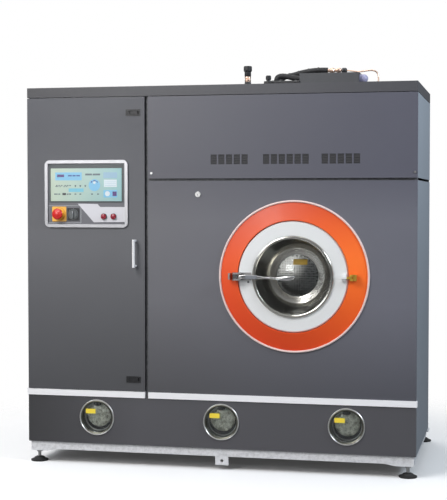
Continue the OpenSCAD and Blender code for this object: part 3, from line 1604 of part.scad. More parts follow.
module copper_pipes() {
    color([0.78, 0.60, 0.46]) {
        cyl_z(relief_x, roof_y, roof + 38, roof + 64, 16);
        difference() {
            union() {
                cyl_x(high_y, fitting_z, high_route[3][0], 571, fitting_r - 3);
                for (x = [508, 544]) translate([x, high_y, fitting_z]) rotate([0, 90, 0])
                    rotate_extrude() polygon([[0, 0], [fitting_r - 3, 0], [fitting_r, 5], [fitting_r, 17], [fitting_r - 3, 22], [0, 22]]);
            }
            rod(high_route[2], high_route[3], high_r + fit_gap);
        }
        pipe_run(copper_route, copper_r);
        for (i = [0 : len(service_xs) - 1]) {
            cyl_y(service_xs[i], service_z, rear_y - 60, rear_y + service_out, service_rs[i]);
            cyl_y(service_xs[i], service_z, rear_y, rear_y + 4, service_rs[i] + 8);
        }
    }
}

module valve_knob() {
    z0 = roof + valve_base_h;
    color(black) {
        cyl_z(valve_x, roof_y, z0 - 18, z0 + 1, 5);
        translate([valve_x, roof_y, z0 + fit_gap]) difference() {
            rotate_extrude() polygon([[0, 0], [valve_r - 3, 0], [valve_r, 4], [valve_r, 18], [valve_r - 3, 23], [0, 23]]);
            for (a = [0 : 45 : 315]) rotate(a) translate([valve_r + 2, 0, -1]) cylinder(h = 30, r = 3.4, $fn = 24);
        }
    }
}

// ---- nodes

stand() base_frame();
stand() levelling_feet();
stand() inner_frame();
stand() plinth_panel();
stand() trim_strips();
stand() lower_front_panel();
stand() upper_front_panel();
stand() top_cover();
stand() side_panels();
stand() rear_covers();
stand() panel_screws();
stand() panel_lock();
stand() orange_ring();
stand() ring_trim();
stand() door_hardware();
stand() door_gasket();
stand() door_ring();
stand() door_bowl();
stand() door_glass();
stand() glass_clamp();
stand() door_arm();
stand() door_lever();
stand() tub();
stand() drum();
stand() drum_shaft();
stand() drum_bearings();
stand() drum_pulley();
stand() drive_motor();
stand() motor_pulley();
stand() drive_belt();
stand() solvent_tanks();
stand() sight_rings();
stand() sight_glasses();
stand() solvent_pump();
stand() solvent_filter();
stand() still();
stand() water_separator();
stand() air_duct();
stand() fan_wheel();
stand() fan_motor();
stand() compressor();
stand() electrics();
stand() cabinet_door();
stand() door_bezel();
stand() touch_screen();
stand() control_plate();
stand() estop_base();
stand() estop_stem();
stand() estop_knob();
stand() selector_knob();
stand() start_button();
stand() stop_button();
stand() switch_blocks();
stand() bar_handle();
stand() latch_upper();
stand() latch_lower();
stand() roof_box();
stand() roof_pipes();
stand() copper_pipes();
stand() valve_knob();
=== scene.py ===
"""Looks of the dry cleaning machine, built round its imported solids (Blender 4.5)."""
import math

import bmesh
import bpy
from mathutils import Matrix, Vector


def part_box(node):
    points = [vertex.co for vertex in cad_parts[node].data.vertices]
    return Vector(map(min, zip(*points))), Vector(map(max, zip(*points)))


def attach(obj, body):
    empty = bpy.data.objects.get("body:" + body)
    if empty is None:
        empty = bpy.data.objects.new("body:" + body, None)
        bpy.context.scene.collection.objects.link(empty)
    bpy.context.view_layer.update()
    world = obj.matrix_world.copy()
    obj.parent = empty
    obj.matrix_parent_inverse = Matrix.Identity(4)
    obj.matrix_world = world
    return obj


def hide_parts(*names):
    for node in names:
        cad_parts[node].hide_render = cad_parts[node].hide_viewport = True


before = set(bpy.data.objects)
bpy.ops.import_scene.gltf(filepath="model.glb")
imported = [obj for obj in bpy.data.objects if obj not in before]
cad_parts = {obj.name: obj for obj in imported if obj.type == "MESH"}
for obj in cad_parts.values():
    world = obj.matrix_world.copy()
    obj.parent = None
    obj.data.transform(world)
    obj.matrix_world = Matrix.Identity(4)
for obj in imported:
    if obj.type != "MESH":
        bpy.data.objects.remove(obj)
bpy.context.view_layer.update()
scene = bpy.context.scene
scene.view_settings.view_transform = "Standard"
scene.view_settings.look = "None"

MM = 0.001
FAR = 9.0  # metres, beyond every piece: an open limit
CABINET = "cabinet_door"
RIGHT, BACK, UP, FORWARD = (1, 0, 0), (0, 1, 0), (0, 0, 1), (0, -1, 0)


# ---- places taken from the solids


def span(node):
    low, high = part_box(node)
    return Vector(low), Vector(high)


def middle(name):
    low, high = span(name)
    return (low + high) / 2


DOOR = middle("ring_trim")
FRONT = span("lower_front_panel")[0].y
ROOF = span("top_cover")[1].z / MM
FACE_Y = (span("control_plate")[1].y - FRONT) / MM


def at(x, y, z):
    """A point in the build's millimetres, with Y counted back from the front panels' face"""
    return Vector((x * MM, FRONT + y * MM, z * MM))


# ---- node helpers


def feed(tree, socket, value):
    """Links another node's output to a socket, or sets a plain value"""
    if isinstance(value, bpy.types.NodeSocket):
        tree.links.new(value, socket)
    else:
        socket.default_value = value


def put(tree, n, **values):
    """Feeds a node's inputs by name, with _ for each space"""
    for key, value in values.items():
        feed(tree, n.inputs[key.replace("_", " ")], value)
    return n


def node(tree, kind, **values):
    return put(tree, tree.nodes.new("ShaderNode" + kind), **values)


def new_group(name, inputs, outputs):
    """An empty shader group with named sockets: {name: default}; a float or a colour"""
    g = bpy.data.node_groups.new(name, "ShaderNodeTree")
    kinds = {True: "NodeSocketColor", False: "NodeSocketFloat"}
    for key, value in inputs.items():
        socket = g.interface.new_socket(key, in_out="INPUT", socket_type=kinds[isinstance(value, tuple)])
        socket.default_value = value
    for key in outputs:
        g.interface.new_socket(key, in_out="OUTPUT", socket_type=kinds[key == "Colour"])
    return g, g.nodes.new("NodeGroupInput").outputs, g.nodes.new("NodeGroupOutput")


def place_group(tree, group, **values):
    n = node(tree, "Group")
    n.node_tree = group
    return put(tree, n, **values).outputs


def calc(tree, operation, a, b=None, clamp=False):
    n = node(tree, "Math")
    n.operation = operation
    n.use_clamp = clamp
    feed(tree, n.inputs[0], a)
    if b is not None:
        feed(tree, n.inputs[1], b)
    return n.outputs[0]


def add(tree, a, b, clamp=False):
    return calc(tree, "ADD", a, b, clamp)


def sub(tree, a, b):
    return calc(tree, "SUBTRACT", a, b)


def mul(tree, a, b, clamp=False):
    return calc(tree, "MULTIPLY", a, b, clamp)


def rgba(colour):
    """A colour socket's value from three shares or one grey level"""
    return (*colour, 1) if isinstance(colour, (tuple, list)) else (colour, colour, colour, 1)


def mix_colour(tree, factor, a, b, blend="MIX"):
    n = node(tree, "Mix")
    n.data_type = "RGBA"
    n.blend_type = blend
    for i, value in ((0, factor), (6, a), (7, b)):
        feed(tree, n.inputs[i], value)
    return n.outputs[2]


def mix_value(tree, factor, a, b):
    n = node(tree, "Mix")
    for i, value in ((0, factor), (2, a), (3, b)):
        feed(tree, n.inputs[i], value)
    return n.outputs[0]


def times_grey(tree, colour, level):
    grey = node(tree, "CombineColor", Red=level, Green=level, Blue=level)
    return mix_colour(tree, 1.0, colour, grey.outputs[0], "MULTIPLY")


def noise(tree, vector, scale, detail=3.0, rough=0.5):
    return node(tree, "TexNoise", Scale=scale, Detail=detail, Roughness=rough, Vector=vector).outputs["Fac"]


def object_place(tree):
    return node(tree, "TexCoord").outputs["Object"]


def split(tree, vector):
    """A vector's X, Y and Z"""
    return node(tree, "SeparateXYZ", Vector=vector).outputs


def ramp(tree, value, low, high):
    """0 to 1 as a value goes from low to high"""
    return node(tree, "MapRange", Value=value, From_Min=low, From_Max=high).outputs[0]


# ---- shared effects


def powder_coat_group():
    """Mottled, finely pebbled paint"""
    g, given, out = new_group("Powder_coat", {"Colour": rgba(0.1), "Roughness": 0.45, "Mottle": 0.06},
                              ("Colour", "Roughness", "Height"))
    place = object_place(g)
    cloud, pebble, flow = noise(g, place, 2.2, 4), noise(g, place, 900, 2), noise(g, place, 38, 3)
    drift = sub(g, flow, 0.5)
    level = add(g, add(g, mul(g, sub(g, cloud, 0.5), given["Mottle"]), mul(g, drift, 0.02)), 1.0)
    put(g, out, Colour=times_grey(g, given["Colour"], level),
        Roughness=add(g, given["Roughness"], mul(g, drift, 0.12)),
        Height=add(g, pebble, mul(g, flow, 2.5)))
    return g


def edge_wear_group():
    """A mask that is 1 on worn outside edges"""
    g, given, out = new_group("Edge_wear", {"Amount": 0.5}, ("Mask",))
    point = node(g, "NewGeometry").outputs["Pointiness"]
    sharp = mul(g, sub(g, point, 0.53), 9.0, True)
    broken = mul(g, sub(g, noise(g, object_place(g), 60, 4, 0.65), 0.42), 4.0, True)
    put(g, out, Mask=mul(g, mul(g, sharp, broken, True), given["Amount"], True))
    return g


def dust_group():
    """A mask for the dust that settles on faces looking up"""
    g, given, out = new_group("Dust", {"Amount": 0.3}, ("Mask",))
    normal = node(g, "NewGeometry").outputs["Normal"]
    up = mul(g, sub(g, split(g, normal)["Z"], 0.6), 2.5, True)
    patch = mul(g, noise(g, object_place(g), 14, 5, 0.6), 1.3, True)
    put(g, out, Mask=mul(g, mul(g, up, patch, True), given["Amount"], True))
    return g


def brushed_group():
    """Fine scratches, drawn out along the axes whose scale is small"""
    g, given, out = new_group(
        "Brushed_metal",
        {"Colour": rgba(0.5), "Roughness": 0.3, "Along X": 40.0, "Along Y": 40.0, "Along Z": 900.0,
         "Contrast": 0.16}, ("Colour", "Roughness", "Height"))
    place = object_place(g)
    axes = split(g, place)
    drawn = node(g, "CombineXYZ", **{key: mul(g, axes[key], given["Along " + key]) for key in "XYZ"})
    line = noise(g, drawn.outputs[0], 1.0, 3, 0.6)
    scratch, stain = sub(g, line, 0.5), sub(g, noise(g, place, 9, 3), 0.5)
    level = add(g, add(g, mul(g, scratch, given["Contrast"]), 1.0), mul(g, stain, 0.12))
    rough = add(g, add(g, given["Roughness"], mul(g, scratch, 0.25)), mul(g, stain, 0.1))
    put(g, out, Colour=times_grey(g, given["Colour"], level), Height=line,
        Roughness=calc(g, "MAXIMUM", rough, 0.05))
    return g


def between_group():
    """1 where a value lies between Low and High"""
    g, given, out = new_group("Between", {"Value": 0.0, "Low": 0.0, "High": 1.0}, ("Mask",))
    above = calc(g, "GREATER_THAN", given["Value"], given["Low"])
    put(g, out, Mask=mul(g, above, calc(g, "LESS_THAN", given["Value"], given["High"])))
    return g


POWDER = powder_coat_group()
WEAR = edge_wear_group()
DUST = dust_group()
BRUSHED = brushed_group()
BETWEEN = between_group()


# ---- materials


def start_material(name):
    m = bpy.data.materials.new(name)
    m.use_nodes = True
    return m, m.node_tree, m.node_tree.nodes["Principled BSDF"]


def add_bump(tree, shader, height, strength, distance):
    bump = node(tree, "Bump", Strength=strength, Distance=distance, Height=height)
    put(tree, shader, Normal=bump.outputs[0])


def painted(name, colour, rough=0.45, mottle=0.06, bump=0.25, wear=0.0, dust=0.25, coat=0.0):
    """Powder coat or enamel, a little dusty on top and worn at its edges"""
    m, tree, shader = start_material(name)
    paint = place_group(tree, POWDER, Colour=rgba(colour), Roughness=rough, Mottle=mottle)
    film = place_group(tree, DUST, Amount=dust)["Mask"]
    tone = mix_colour(tree, film, paint["Colour"], rgba((0.42, 0.41, 0.39)))
    if wear > 0:
        worn = place_group(tree, WEAR, Amount=wear)["Mask"]
        tone = mix_colour(tree, worn, tone, rgba((0.45, 0.45, 0.46)))
        put(tree, shader, Metallic=mul(tree, worn, 0.7))
    put(tree, shader, Base_Color=tone, Roughness=paint["Roughness"], Coat_Weight=coat, Coat_Roughness=0.12)
    add_bump(tree, shader, paint["Height"], bump, 0.0002)
    return m


def plastic(name, colour, rough=0.35, mottle=0.04, bump=0.12, coat=0.0, dust=0.1):
    return painted(name, colour, rough, mottle, bump, 0.0, dust, coat)


def metal(name, colour, rough=0.3, along=(40, 40, 900), contrast=0.16):
    """Brushed sheet or bar with a thin film of dust"""
    m, tree, shader = start_material(name)
    grain = place_group(tree, BRUSHED, Colour=rgba(colour), Roughness=rough, Along_X=along[0],
                        Along_Y=along[1], Along_Z=along[2], Contrast=contrast)
    film = place_group(tree, DUST, Amount=0.15)["Mask"]
    tone = mix_colour(tree, film, grain["Colour"], rgba((0.36, 0.35, 0.33)))
    put(tree, shader, Base_Color=tone, Roughness=grain["Roughness"], Metallic=1.0)
    add_bump(tree, shader, grain["Height"], 0.12, 0.00005)
    return m


def clear_glass(name):
    m, tree, shader = start_material(name)
    smear = noise(tree, object_place(tree), 16, 4, 0.6)
    haze = mul(tree, sub(tree, smear, 0.45), 0.12, True)
    tint = (0.86, 0.9, 0.9)
    tone = mix_colour(tree, smear, rgba(tint), rgba([c * 0.93 for c in tint]))
    put(tree, shader, Transmission_Weight=1.0, IOR=1.45, Roughness=add(tree, haze, 0.02), Base_Color=tone)
    add_bump(tree, shader, smear, 0.02, 0.0005)
    return m


def lit_panel(name, colour, glow=0.25):
    """A display's own surface: its colour shows by day and glows a little"""
    m, tree, shader = start_material(name)
    place = object_place(tree)
    tone = mix_colour(tree, noise(tree, place, 11, 3), rgba(colour), rgba([c * 0.9 for c in colour]))
    dots = noise(tree, place, 1500, 1)
    put(tree, shader, Base_Color=tone, Emission_Color=tone, Emission_Strength=glow,
        Roughness=add(tree, mul(tree, dots, 0.1), 0.16))
    add_bump(tree, shader, dots, 0.05, 0.0001)
    return m


def mottled(name, dark, pale, scale, rough):
    """Cast surface with pale and dark patches; the pale patches are lifted far above the cast metal's own
    tone as painted light, for the light the glass in front keeps out
    """
    m, tree, shader = start_material(name)
    patches = noise(tree, object_place(tree), scale, 5, 0.7)
    tone = mix_colour(tree, ramp(tree, patches, 0.38, 0.60), rgba(dark), rgba(pale))
    put(tree, shader, Base_Color=tone, Roughness=rough, Metallic=0.25)
    add_bump(tree, shader, patches, 0.5, 0.002)
    return m


def blend(tree, socket, mask, value):
    """Blends a shader's input towards another value by a mask"""
    was = socket.links[0].from_socket if socket.links else socket.default_value
    feed(tree, socket, mix_value(tree, mask, was, value))


def blend_base(tree, shader, mask, colour):
    base = shader.inputs["Base Color"]
    feed(tree, base, mix_colour(tree, mask, base.links[0].from_socket, colour))


def perforated(name):
    """Rolled sheet with rows of drain holes, laid out round the drum's axis and over its back"""
    pitch, hole = 0.013, 0.0034
    m = metal(name, 0.50, 0.3, (30, 300, 600), 0.14)
    tree = m.node_tree
    shader = tree.nodes["Principled BSDF"]
    low, high = span("drum")
    mid = (low + high) / 2
    axes = split(tree, object_place(tree))
    x, z = sub(tree, axes["X"], mid.x), sub(tree, axes["Z"], mid.z)
    turn = mul(tree, calc(tree, "ARCTAN2", z, x), (high.x - low.x) / 2)
    facing = split(tree, node(tree, "TexCoord").outputs["Normal"])
    flat = calc(tree, "GREATER_THAN", calc(tree, "ABSOLUTE", facing["Y"]), 0.7)
    spot = node(tree, "CombineXYZ", X=mix_value(tree, flat, turn, x), Y=mix_value(tree, flat, axes["Y"], z))
    cells = node(tree, "TexVoronoi", Scale=1 / pitch, Randomness=0.0, Vector=spot.outputs[0])
    mask = calc(tree, "LESS_THAN", cells.outputs["Distance"], hole / pitch)
    blend_base(tree, shader, mask, rgba(0.006))
    blend(tree, shader.inputs["Metallic"], mask, 0.0)
    return m


PANEL = (0.108, 0.108, 0.115)
MATERIALS = {
    "panel": painted("Panel_dark_grey", PANEL, 0.42, 0.10, 0.22, dust=0.10),
    # Plinth and lid take the panel paint darkened to 0.84 and 0.70: painted shade
    "plinth": painted("Plinth_dark_grey_painted_shade", [c * 0.84 for c in PANEL], 0.42, 0.10, 0.22, dust=0.10),
    "lid": painted("Lid_dark_grey_painted_shade", [c * 0.70 for c in PANEL], 0.42, 0.10, 0.22, dust=0.30),
    "cabinet": painted("Cabinet_dark_grey", (0.112, 0.114, 0.123), 0.42, 0.10, 0.22, dust=0.10),
    "side": painted("Side_blue_grey", (0.255, 0.290, 0.335), 0.45, 0.08, 0.22, dust=0.12),
    "rear": painted("Rear_grey", (0.19, 0.195, 0.205), 0.5, 0.10, 0.25, wear=0.2),
    "strip": painted("Trim_white", (0.84, 0.84, 0.86), 0.3, 0.03, 0.10, dust=0.05),
    "frame": painted("Base_light_grey", (0.82, 0.83, 0.86), 0.42, 0.12, 0.3, wear=0.4),
    "inner": painted("Inner_frame_grey", (0.11, 0.115, 0.125), 0.5, 0.1, 0.3, wear=0.25),
    "orange": plastic("Orange_gloss", (0.88, 0.135, 0.018), 0.50, 0.05, 0.06, coat=0.05),
    "pink": plastic("Trim_pale_pink", (0.80, 0.63, 0.60), 0.5, 0.04, 0.1),
    "white": plastic("Ring_white", (0.80, 0.815, 0.82), 0.32, 0.015, 0.04, coat=0.15),
    "zinc": metal("Yellow_zinc", (0.80, 0.52, 0.09), 0.38, (300, 300, 300), 0.2),
    "bowl": metal("Spun_steel", (0.60, 0.59, 0.55), 0.18, (300, 900, 300), 0.12),
    "steel": metal("Sheet_steel", 0.52, 0.32, (30, 300, 600), 0.16),
    "bright": metal("Bright_steel", (0.70, 0.70, 0.71), 0.16, (200, 200, 60), 0.08),
    "tank": metal("Tank_steel", (0.46, 0.45, 0.43), 0.38, (30, 300, 500), 0.2),
    "galvanised": metal("Galvanised_sheet", (0.50, 0.52, 0.54), 0.42, (25, 25, 25), 0.5),
    "cast": painted("Cast_iron_grey", (0.16, 0.165, 0.17), 0.55, 0.2, 0.7, wear=0.5),
    "rubber": plastic("Black_rubber", (0.018, 0.018, 0.019), 0.62, 0.2, 0.4, dust=0.2),
    "black": plastic("Black_moulding", (0.014, 0.014, 0.016), 0.42, 0.1, 0.3),
    "glass": clear_glass("Clear_glass"),
    "screen": lit_panel("Screen_pale_green", (0.35, 0.455, 0.41), 0.16),
    "plate_white": plastic("Plate_white", (0.60, 0.60, 0.64), 0.3, 0.03, 0.05),
    "yellow": plastic("Yellow_plate", (0.86, 0.46, 0.06), 0.35, 0.05, 0.08),
    "red": plastic("Stop_red", (0.62, 0.022, 0.018), 0.28, 0.06, 0.06, coat=0.4),
    "lamp": plastic("Lamp_dark_red", (0.27, 0.014, 0.03), 0.16, 0.15, 0.05, coat=0.6),
    "knob": plastic("Knob_grey", (0.105, 0.115, 0.12), 0.4, 0.06, 0.12),
    "blue": painted("Motor_blue", (0.035, 0.07, 0.15), 0.35, 0.12, 0.3, wear=0.25),
    "copper": metal("Copper_pipe", (0.84, 0.60, 0.47), 0.34, (120, 120, 120), 0.12),
    "insulation": plastic("Pipe_insulation", (0.012, 0.012, 0.014), 0.62, 0.25, 0.6, dust=0.12),
    "dark_hole": plastic("Vent_black", (0.030, 0.030, 0.034), 0.6, 0.1, 0.2),
    "box_grey": painted("Roof_box_grey", (0.060, 0.062, 0.068), 0.45, 0.1, 0.25, dust=0.15),
    "port_steel": metal("Port_ring_steel", (0.78, 0.78, 0.76), 0.34, (200, 200, 200), 0.1),
    # Partly painted shade: the port tubes' steel is darkened for the shadow inside each port
    "port_dark": metal("Port_tube_dark_painted_shade", (0.17, 0.17, 0.14), 0.32, (200, 200, 200), 0.3),
    # Partly painted light: the cover's pale patches are nearly white, brighter than the cast metal, for the
    # light the sight glass keeps out
    "cover": mottled("Dished_cover_painted_light", (0.34, 0.33, 0.25), (1.0, 0.98, 0.86), 60, 0.36),
    # Painted highlight: the bar handle is pale silver paint rather than metal, bright enough to stand in for
    # its reflections
    "handle": painted("Handle_silver_painted_highlight", (0.80, 0.80, 0.82), 0.26, 0.03, 0.08, dust=0.05),
    "bezel": metal("Bezel_silver_and_grey", (0.44, 0.44, 0.46), 0.38, (60, 300, 60), 0.08),
    "feet": metal("Feet_zinc_and_rubber", 0.50, 0.4, (200, 200, 900), 0.2),
    "polished": metal("Polished_lever", 0.66, 0.15, (400, 100, 100), 0.1),
    "brass": metal("Brass_nut", (0.62, 0.44, 0.17), 0.28, (200, 200, 200), 0.15),
    "lever_grey": painted("Lever_grey", (0.20, 0.21, 0.23), 0.35, 0.1, 0.2),
    "relay_pale": plastic("Relay_pale_grey", (0.52, 0.53, 0.52), 0.4, 0.05, 0.1),
    "relay_blue": plastic("Relay_blue", (0.04, 0.12, 0.30), 0.35, 0.05, 0.1),
    "duct_grey": plastic("Duct_grey", (0.33, 0.34, 0.35), 0.5, 0.05, 0.15),
    "wire_red": plastic("Wire_red", (0.45, 0.02, 0.02), 0.4, 0.05, 0.1),
    "wire_black": plastic("Wire_black", 0.02, 0.4, 0.05, 0.1),
    "wire_blue": plastic("Wire_blue", (0.03, 0.08, 0.35), 0.4, 0.05, 0.1),
    "wire_green": plastic("Wire_green", (0.12, 0.30, 0.06), 0.4, 0.05, 0.1),
    "coil_black": plastic("Coil_moulding", (0.024, 0.024, 0.026), 0.34, 0.1, 0.2),
    "surround": plastic("Display_surround", (0.050, 0.062, 0.066), 0.3, 0.05, 0.06),
    "line_grey": plastic("Printed_line", (0.50, 0.52, 0.54), 0.4, 0.05, 0.05),
    "amber_dark": plastic("Stop_plate_ring", (0.56, 0.22, 0.03), 0.4, 0.05, 0.05),
    "amber_label": plastic("Blank_amber_label", (0.52, 0.34, 0.05), 0.45, 0.10, 0.05),
    "yellow_label": plastic("Blank_yellow_label", (0.95, 0.74, 0.06), 0.45, 0.06, 0.05),
    "ui_blue": lit_panel("Display_blue", (0.155, 0.40, 0.60), 0.16),
    "ui_cyan": lit_panel("Display_cyan", (0.13, 0.41, 0.53), 0.16),
    "ui_plum": lit_panel("Display_plum", (0.055, 0.022, 0.13)),
    "ui_navy": lit_panel("Display_navy", (0.025, 0.045, 0.20)),
    "ui_dark": lit_panel("Display_dark_grey", (0.07, 0.10, 0.12), 0.16),
    "ui_black": lit_panel("Display_black", (0.012, 0.012, 0.02)),
    "ui_steel": lit_panel("Display_steel_blue", (0.22, 0.36, 0.47), 0.16),
    "ui_white": lit_panel("Display_white", (0.52, 0.60, 0.64), 0.16),
    "perforated": perforated("Drum_perforated_steel"),
}


def paint_inside(key, limits, colour, rough=0.4, metallic=0.0):
    """Another finish over part of a piece: limits is {axis: (low, high)} in metres"""
    tree = MATERIALS[key].node_tree
    shader = tree.nodes["Principled BSDF"]
    axes = split(tree, object_place(tree))
    mask = 1.0
    for axis, (low, high) in limits.items():
        mask = mul(tree, mask, place_group(tree, BETWEEN, Value=axes[axis], Low=low, High=high)["Mask"])
    paint = place_group(tree, POWDER, Colour=rgba(colour), Roughness=rough, Mottle=0.08)
    blend_base(tree, shader, mask, paint["Colour"])
    blend(tree, shader.inputs["Roughness"], mask, rough)
    blend(tree, shader.inputs["Metallic"], mask, metallic)


def paint_light_and_shade(key, axis, low, high, start, end):
    """Painted light and shade: multiplies a material's colours by a tone that changes along an axis, from
    low to high in metres
    """
    tree = MATERIALS[key].node_tree
    shader = tree.nodes["Principled BSDF"]
    share = ramp(tree, split(tree, object_place(tree))[axis], low, high)
    tint = mix_colour(tree, share, rgba(start), rgba(end))
    for name in ("Base Color", "Emission Color"):
        socket = shader.inputs[name]
        if socket.links:
            feed(tree, socket, mix_colour(tree, 1.0, socket.links[0].from_socket, tint, "MULTIPLY"))


def tune_materials():
    """Two finishes on one solid, and painted light and shade: tones that change across a piece as they do in
    the photograph
    """
    low, high = span("door_bezel")
    bar = 16 * MM  # width of the bright frame
    paint_inside("bezel", {"X": (low.x + bar, high.x - bar), "Z": (low.z + bar, high.z - bar)},
                 (0.135, 0.138, 0.155))
    cap_x = span("roof_box")[1].x - 42 * MM  # the box's round end starts here
    paint_inside("box_grey", {"X": (cap_x, FAR)}, (0.34, 0.335, 0.50))
    paint_inside("zinc", {"X": (-FAR, DOOR.x)}, (0.42, 0.41, 0.41), 0.35, 0.9)
    ring_x = span("door_ring")[1].x - 6 * MM
    paint_inside("zinc", {"X": (DOOR.x, ring_x)}, (0.78, 0.79, 0.80), 0.32)
    pad_top = span("levelling_feet")[0].z + 24 * MM
    paint_inside("feet", {"Z": (-1.0, pad_top)}, 0.018, 0.6)
    low, high = span("touch_screen")
    # Painted light on the display: warmer and brighter at its left, darker and bluer at its right
    paint_light_and_shade("screen", "X", low.x, high.x, (1.15, 1.06, 0.95), (0.62, 0.88, 1.02))
    paint_inside("screen", {"Y": (low.y + 2 * MM, FAR)}, (0.06, 0.065, 0.07))
    # Painted light and shade, one row each: material, axis, from, to, tone at from, tone at to. The rows
    # darken the lower parts and the tops, tone down the bright top of the orange ring and lighten the
    # right-hand side.
    for row in (
        ("orange", "Z", DOOR.z - 0.37, DOOR.z + 0.05, (0.98, 0.52, 0.45), (1.05, 1.05, 1.0)),
        ("orange", "Z", DOOR.z + 0.08, DOOR.z + 0.34, 1, (0.66, 0.42, 0.40)),
        ("orange", "X", DOOR.x - 0.33, DOOR.x + 0.30, (0.86, 0.60, 0.62), (1.14, 1.28, 1.00)),
        ("panel", "Z", 0.25, 0.85, (0.58, 0.58, 0.59), (1.26, 1.26, 1.30)),
        ("panel", "Z", 1.25, 1.50, 1, (0.66, 0.66, 0.71)),
        ("panel", "X", -0.4, 0.9, (0.97, 0.97, 0.98), (1.10, 1.12, 1.24)),
        ("cabinet", "Z", 0.25, 1.10, (0.56, 0.56, 0.57), (1.00, 1.00, 1.02)),
        ("cabinet", "Z", 1.20, 1.75, 1, (0.55, 0.56, 0.61)),
        ("side", "Z", 0.35, 1.75, 0.78, (1.24, 1.24, 1.22)),
        ("lid", "X", -1.0, 0.3, (0.50, 0.50, 0.54), (0.96, 0.97, 1.03)),
        ("plinth", "X", -1.0, -0.4, (0.48, 0.48, 0.49), (0.98, 0.97, 1.02)),
        ("strip", "X", -0.9, 0.9, 1.06, (1.14, 1.14, 1.15)),
    ):
        paint_light_and_shade(*row)


tune_materials()

CAD_FINISH = {
    "frame": "base_frame", "inner": "inner_frame", "plinth": "plinth_panel", "strip": "trim_strips",
    "panel": "lower_front_panel upper_front_panel", "lid": "top_cover", "side": "side_panels",
    "rear": "rear_covers", "steel": "panel_screws panel_lock glass_clamp tub", "orange": "orange_ring",
    "pink": "ring_trim", "zinc": "door_hardware door_arm", "rubber": "door_gasket drive_belt",
    "white": "door_ring", "bowl": "door_bowl", "glass": "door_glass sight_glasses",
    "bright": "door_lever drum_bearings sight_rings", "perforated": "drum",
    "cast": "drum_shaft drum_pulley motor_pulley", "blue": "drive_motor solvent_pump fan_motor",
    "tank": "solvent_tanks solvent_filter still water_separator",
    "galvanised": "air_duct fan_wheel electrics",
    "black": "compressor estop_stem switch_blocks latch_upper latch_lower roof_pipes valve_knob",
    "cabinet": "cabinet_door", "bezel": "door_bezel", "screen": "touch_screen",
    "plate_white": "control_plate",
    "yellow": "estop_base", "red": "estop_knob", "knob": "selector_knob",
    "lamp": "start_button stop_button",
    "handle": "bar_handle", "box_grey": "roof_box", "copper": "copper_pipes", "feet": "levelling_feet",
}

for finish, names in CAD_FINISH.items():
    for name in names.split():
        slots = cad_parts[name].data.materials
        slots.clear()
        slots.append(MATERIALS[finish])


def soften(name, width):
    """Rounds a solid's sharp edges a little, as folded sheet and castings are"""
    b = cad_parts[name].modifiers.new("Rounded_edges", "BEVEL")
    b.width = width
    b.segments = 2
    b.limit_method = "ANGLE"
    b.angle_limit = math.radians(40)
    b.harden_normals = False


# ---- mesh helpers


def new_piece(name, verts, faces, finish, body, smooth=True):
    mesh = bpy.data.meshes.new(name)
    mesh.from_pydata([tuple(v) for v in verts], [], faces)
    mesh.validate()
    bm = bmesh.new()
    bm.from_mesh(mesh)
    bmesh.ops.remove_doubles(bm, verts=bm.verts, dist=1e-6)
    bmesh.ops.recalc_face_normals(bm, faces=bm.faces)
    bm.to_mesh(mesh)
    bm.free()
    o = bpy.data.objects.new(name, mesh)
    scene.collection.objects.link(o)
    mesh.materials.append(MATERIALS[finish])
    for p in mesh.polygons:
        p.use_smooth = smooth
    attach(o, body)
    return o


def skin(rings, sides):
    """Faces between rings of vertices, closed at both ends"""
    faces = []
    for i in range(rings - 1):
        for k in range(sides):
            q = (k + 1) % sides
            faces.append((i * sides + k, i * sides + q, (i + 1) * sides + q, (i + 1) * sides + k))
    faces.append(tuple(range(sides - 1, -1, -1)))
    faces.append(tuple((rings - 1) * sides + k for k in range(sides)))
    return faces


def lathe(name, centre, axis, outline, finish, body, turns=96, angle=35):
    """outline: (radius, distance along the axis) in mm; both ends are closed when their radius is 0"""
    axis = Vector(axis).normalized()
    side = axis.orthogonal().normalized()
    up = axis.cross(side)
    outline = [(r * MM, d * MM) for r, d in outline]
    verts, faces = [], []
    n = len(outline)
    for k in range(turns):
        a = 2 * math.pi * k / turns
        out = side * math.cos(a) + up * math.sin(a)
        for r, d in outline:
            verts.append(Vector(centre) + axis * d + out * r)
    closed = outline[0] != outline[-1] and outline[0][0] > 1e-9
    for k in range(turns):
        q = (k + 1) % turns
        for i in range(n if closed else n - 1):
            j = (i + 1) % n
            faces.append((k * n + i, q * n + i, q * n + j, k * n + j))
    o = new_piece(name, verts, faces, finish, body, True)
    o.data.set_sharp_from_angle(angle=math.radians(angle))
    return o


def smooth_line(points, steps):
    """A Catmull-Rom line through the points"""
    pts = [Vector(p) for p in points]
    out = []
    for i in range(len(pts) - 1):
        p0, p1, p2 = pts[max(i - 1, 0)], pts[i], pts[i + 1]
        p3 = pts[min(i + 2, len(pts) - 1)]
        for s in range(steps):
            t = s / steps
            out.append(0.5 * ((2 * p1) + (p2 - p0) * t + (2 * p0 - 5 * p1 + 4 * p2 - p3) * t * t
                              + (3 * p1 - p0 - 3 * p2 + p3) * t ** 3))
    out.append(pts[-1])
    return out


def tube(name, points, radius, finish, body, sides=20, steps=8, rib=0.0):
    """A round bar along a smooth line; rib swells it at every other ring"""
    line = smooth_line(points, steps) if steps > 1 else [Vector(p) for p in points]
    verts = []
    normal = (line[1] - line[0]).normalized().orthogonal().normalized()
    for i, p in enumerate(line):
        ahead = line[min(i + 1, len(line) - 1)] - line[max(i - 1, 0)]
        ahead.normalize()
        normal = (normal - ahead * normal.dot(ahead)).normalized()
        across = ahead.cross(normal)
        r = radius + (rib if i % 2 else 0.0)
        for k in range(sides):
            a = 2 * math.pi * k / sides
            verts.append(p + (normal * math.cos(a) + across * math.sin(a)) * r)
    o = new_piece(name, verts, skin(len(line), sides), finish, body, True)
    o.data.set_sharp_from_angle(angle=math.radians(50))
    return o


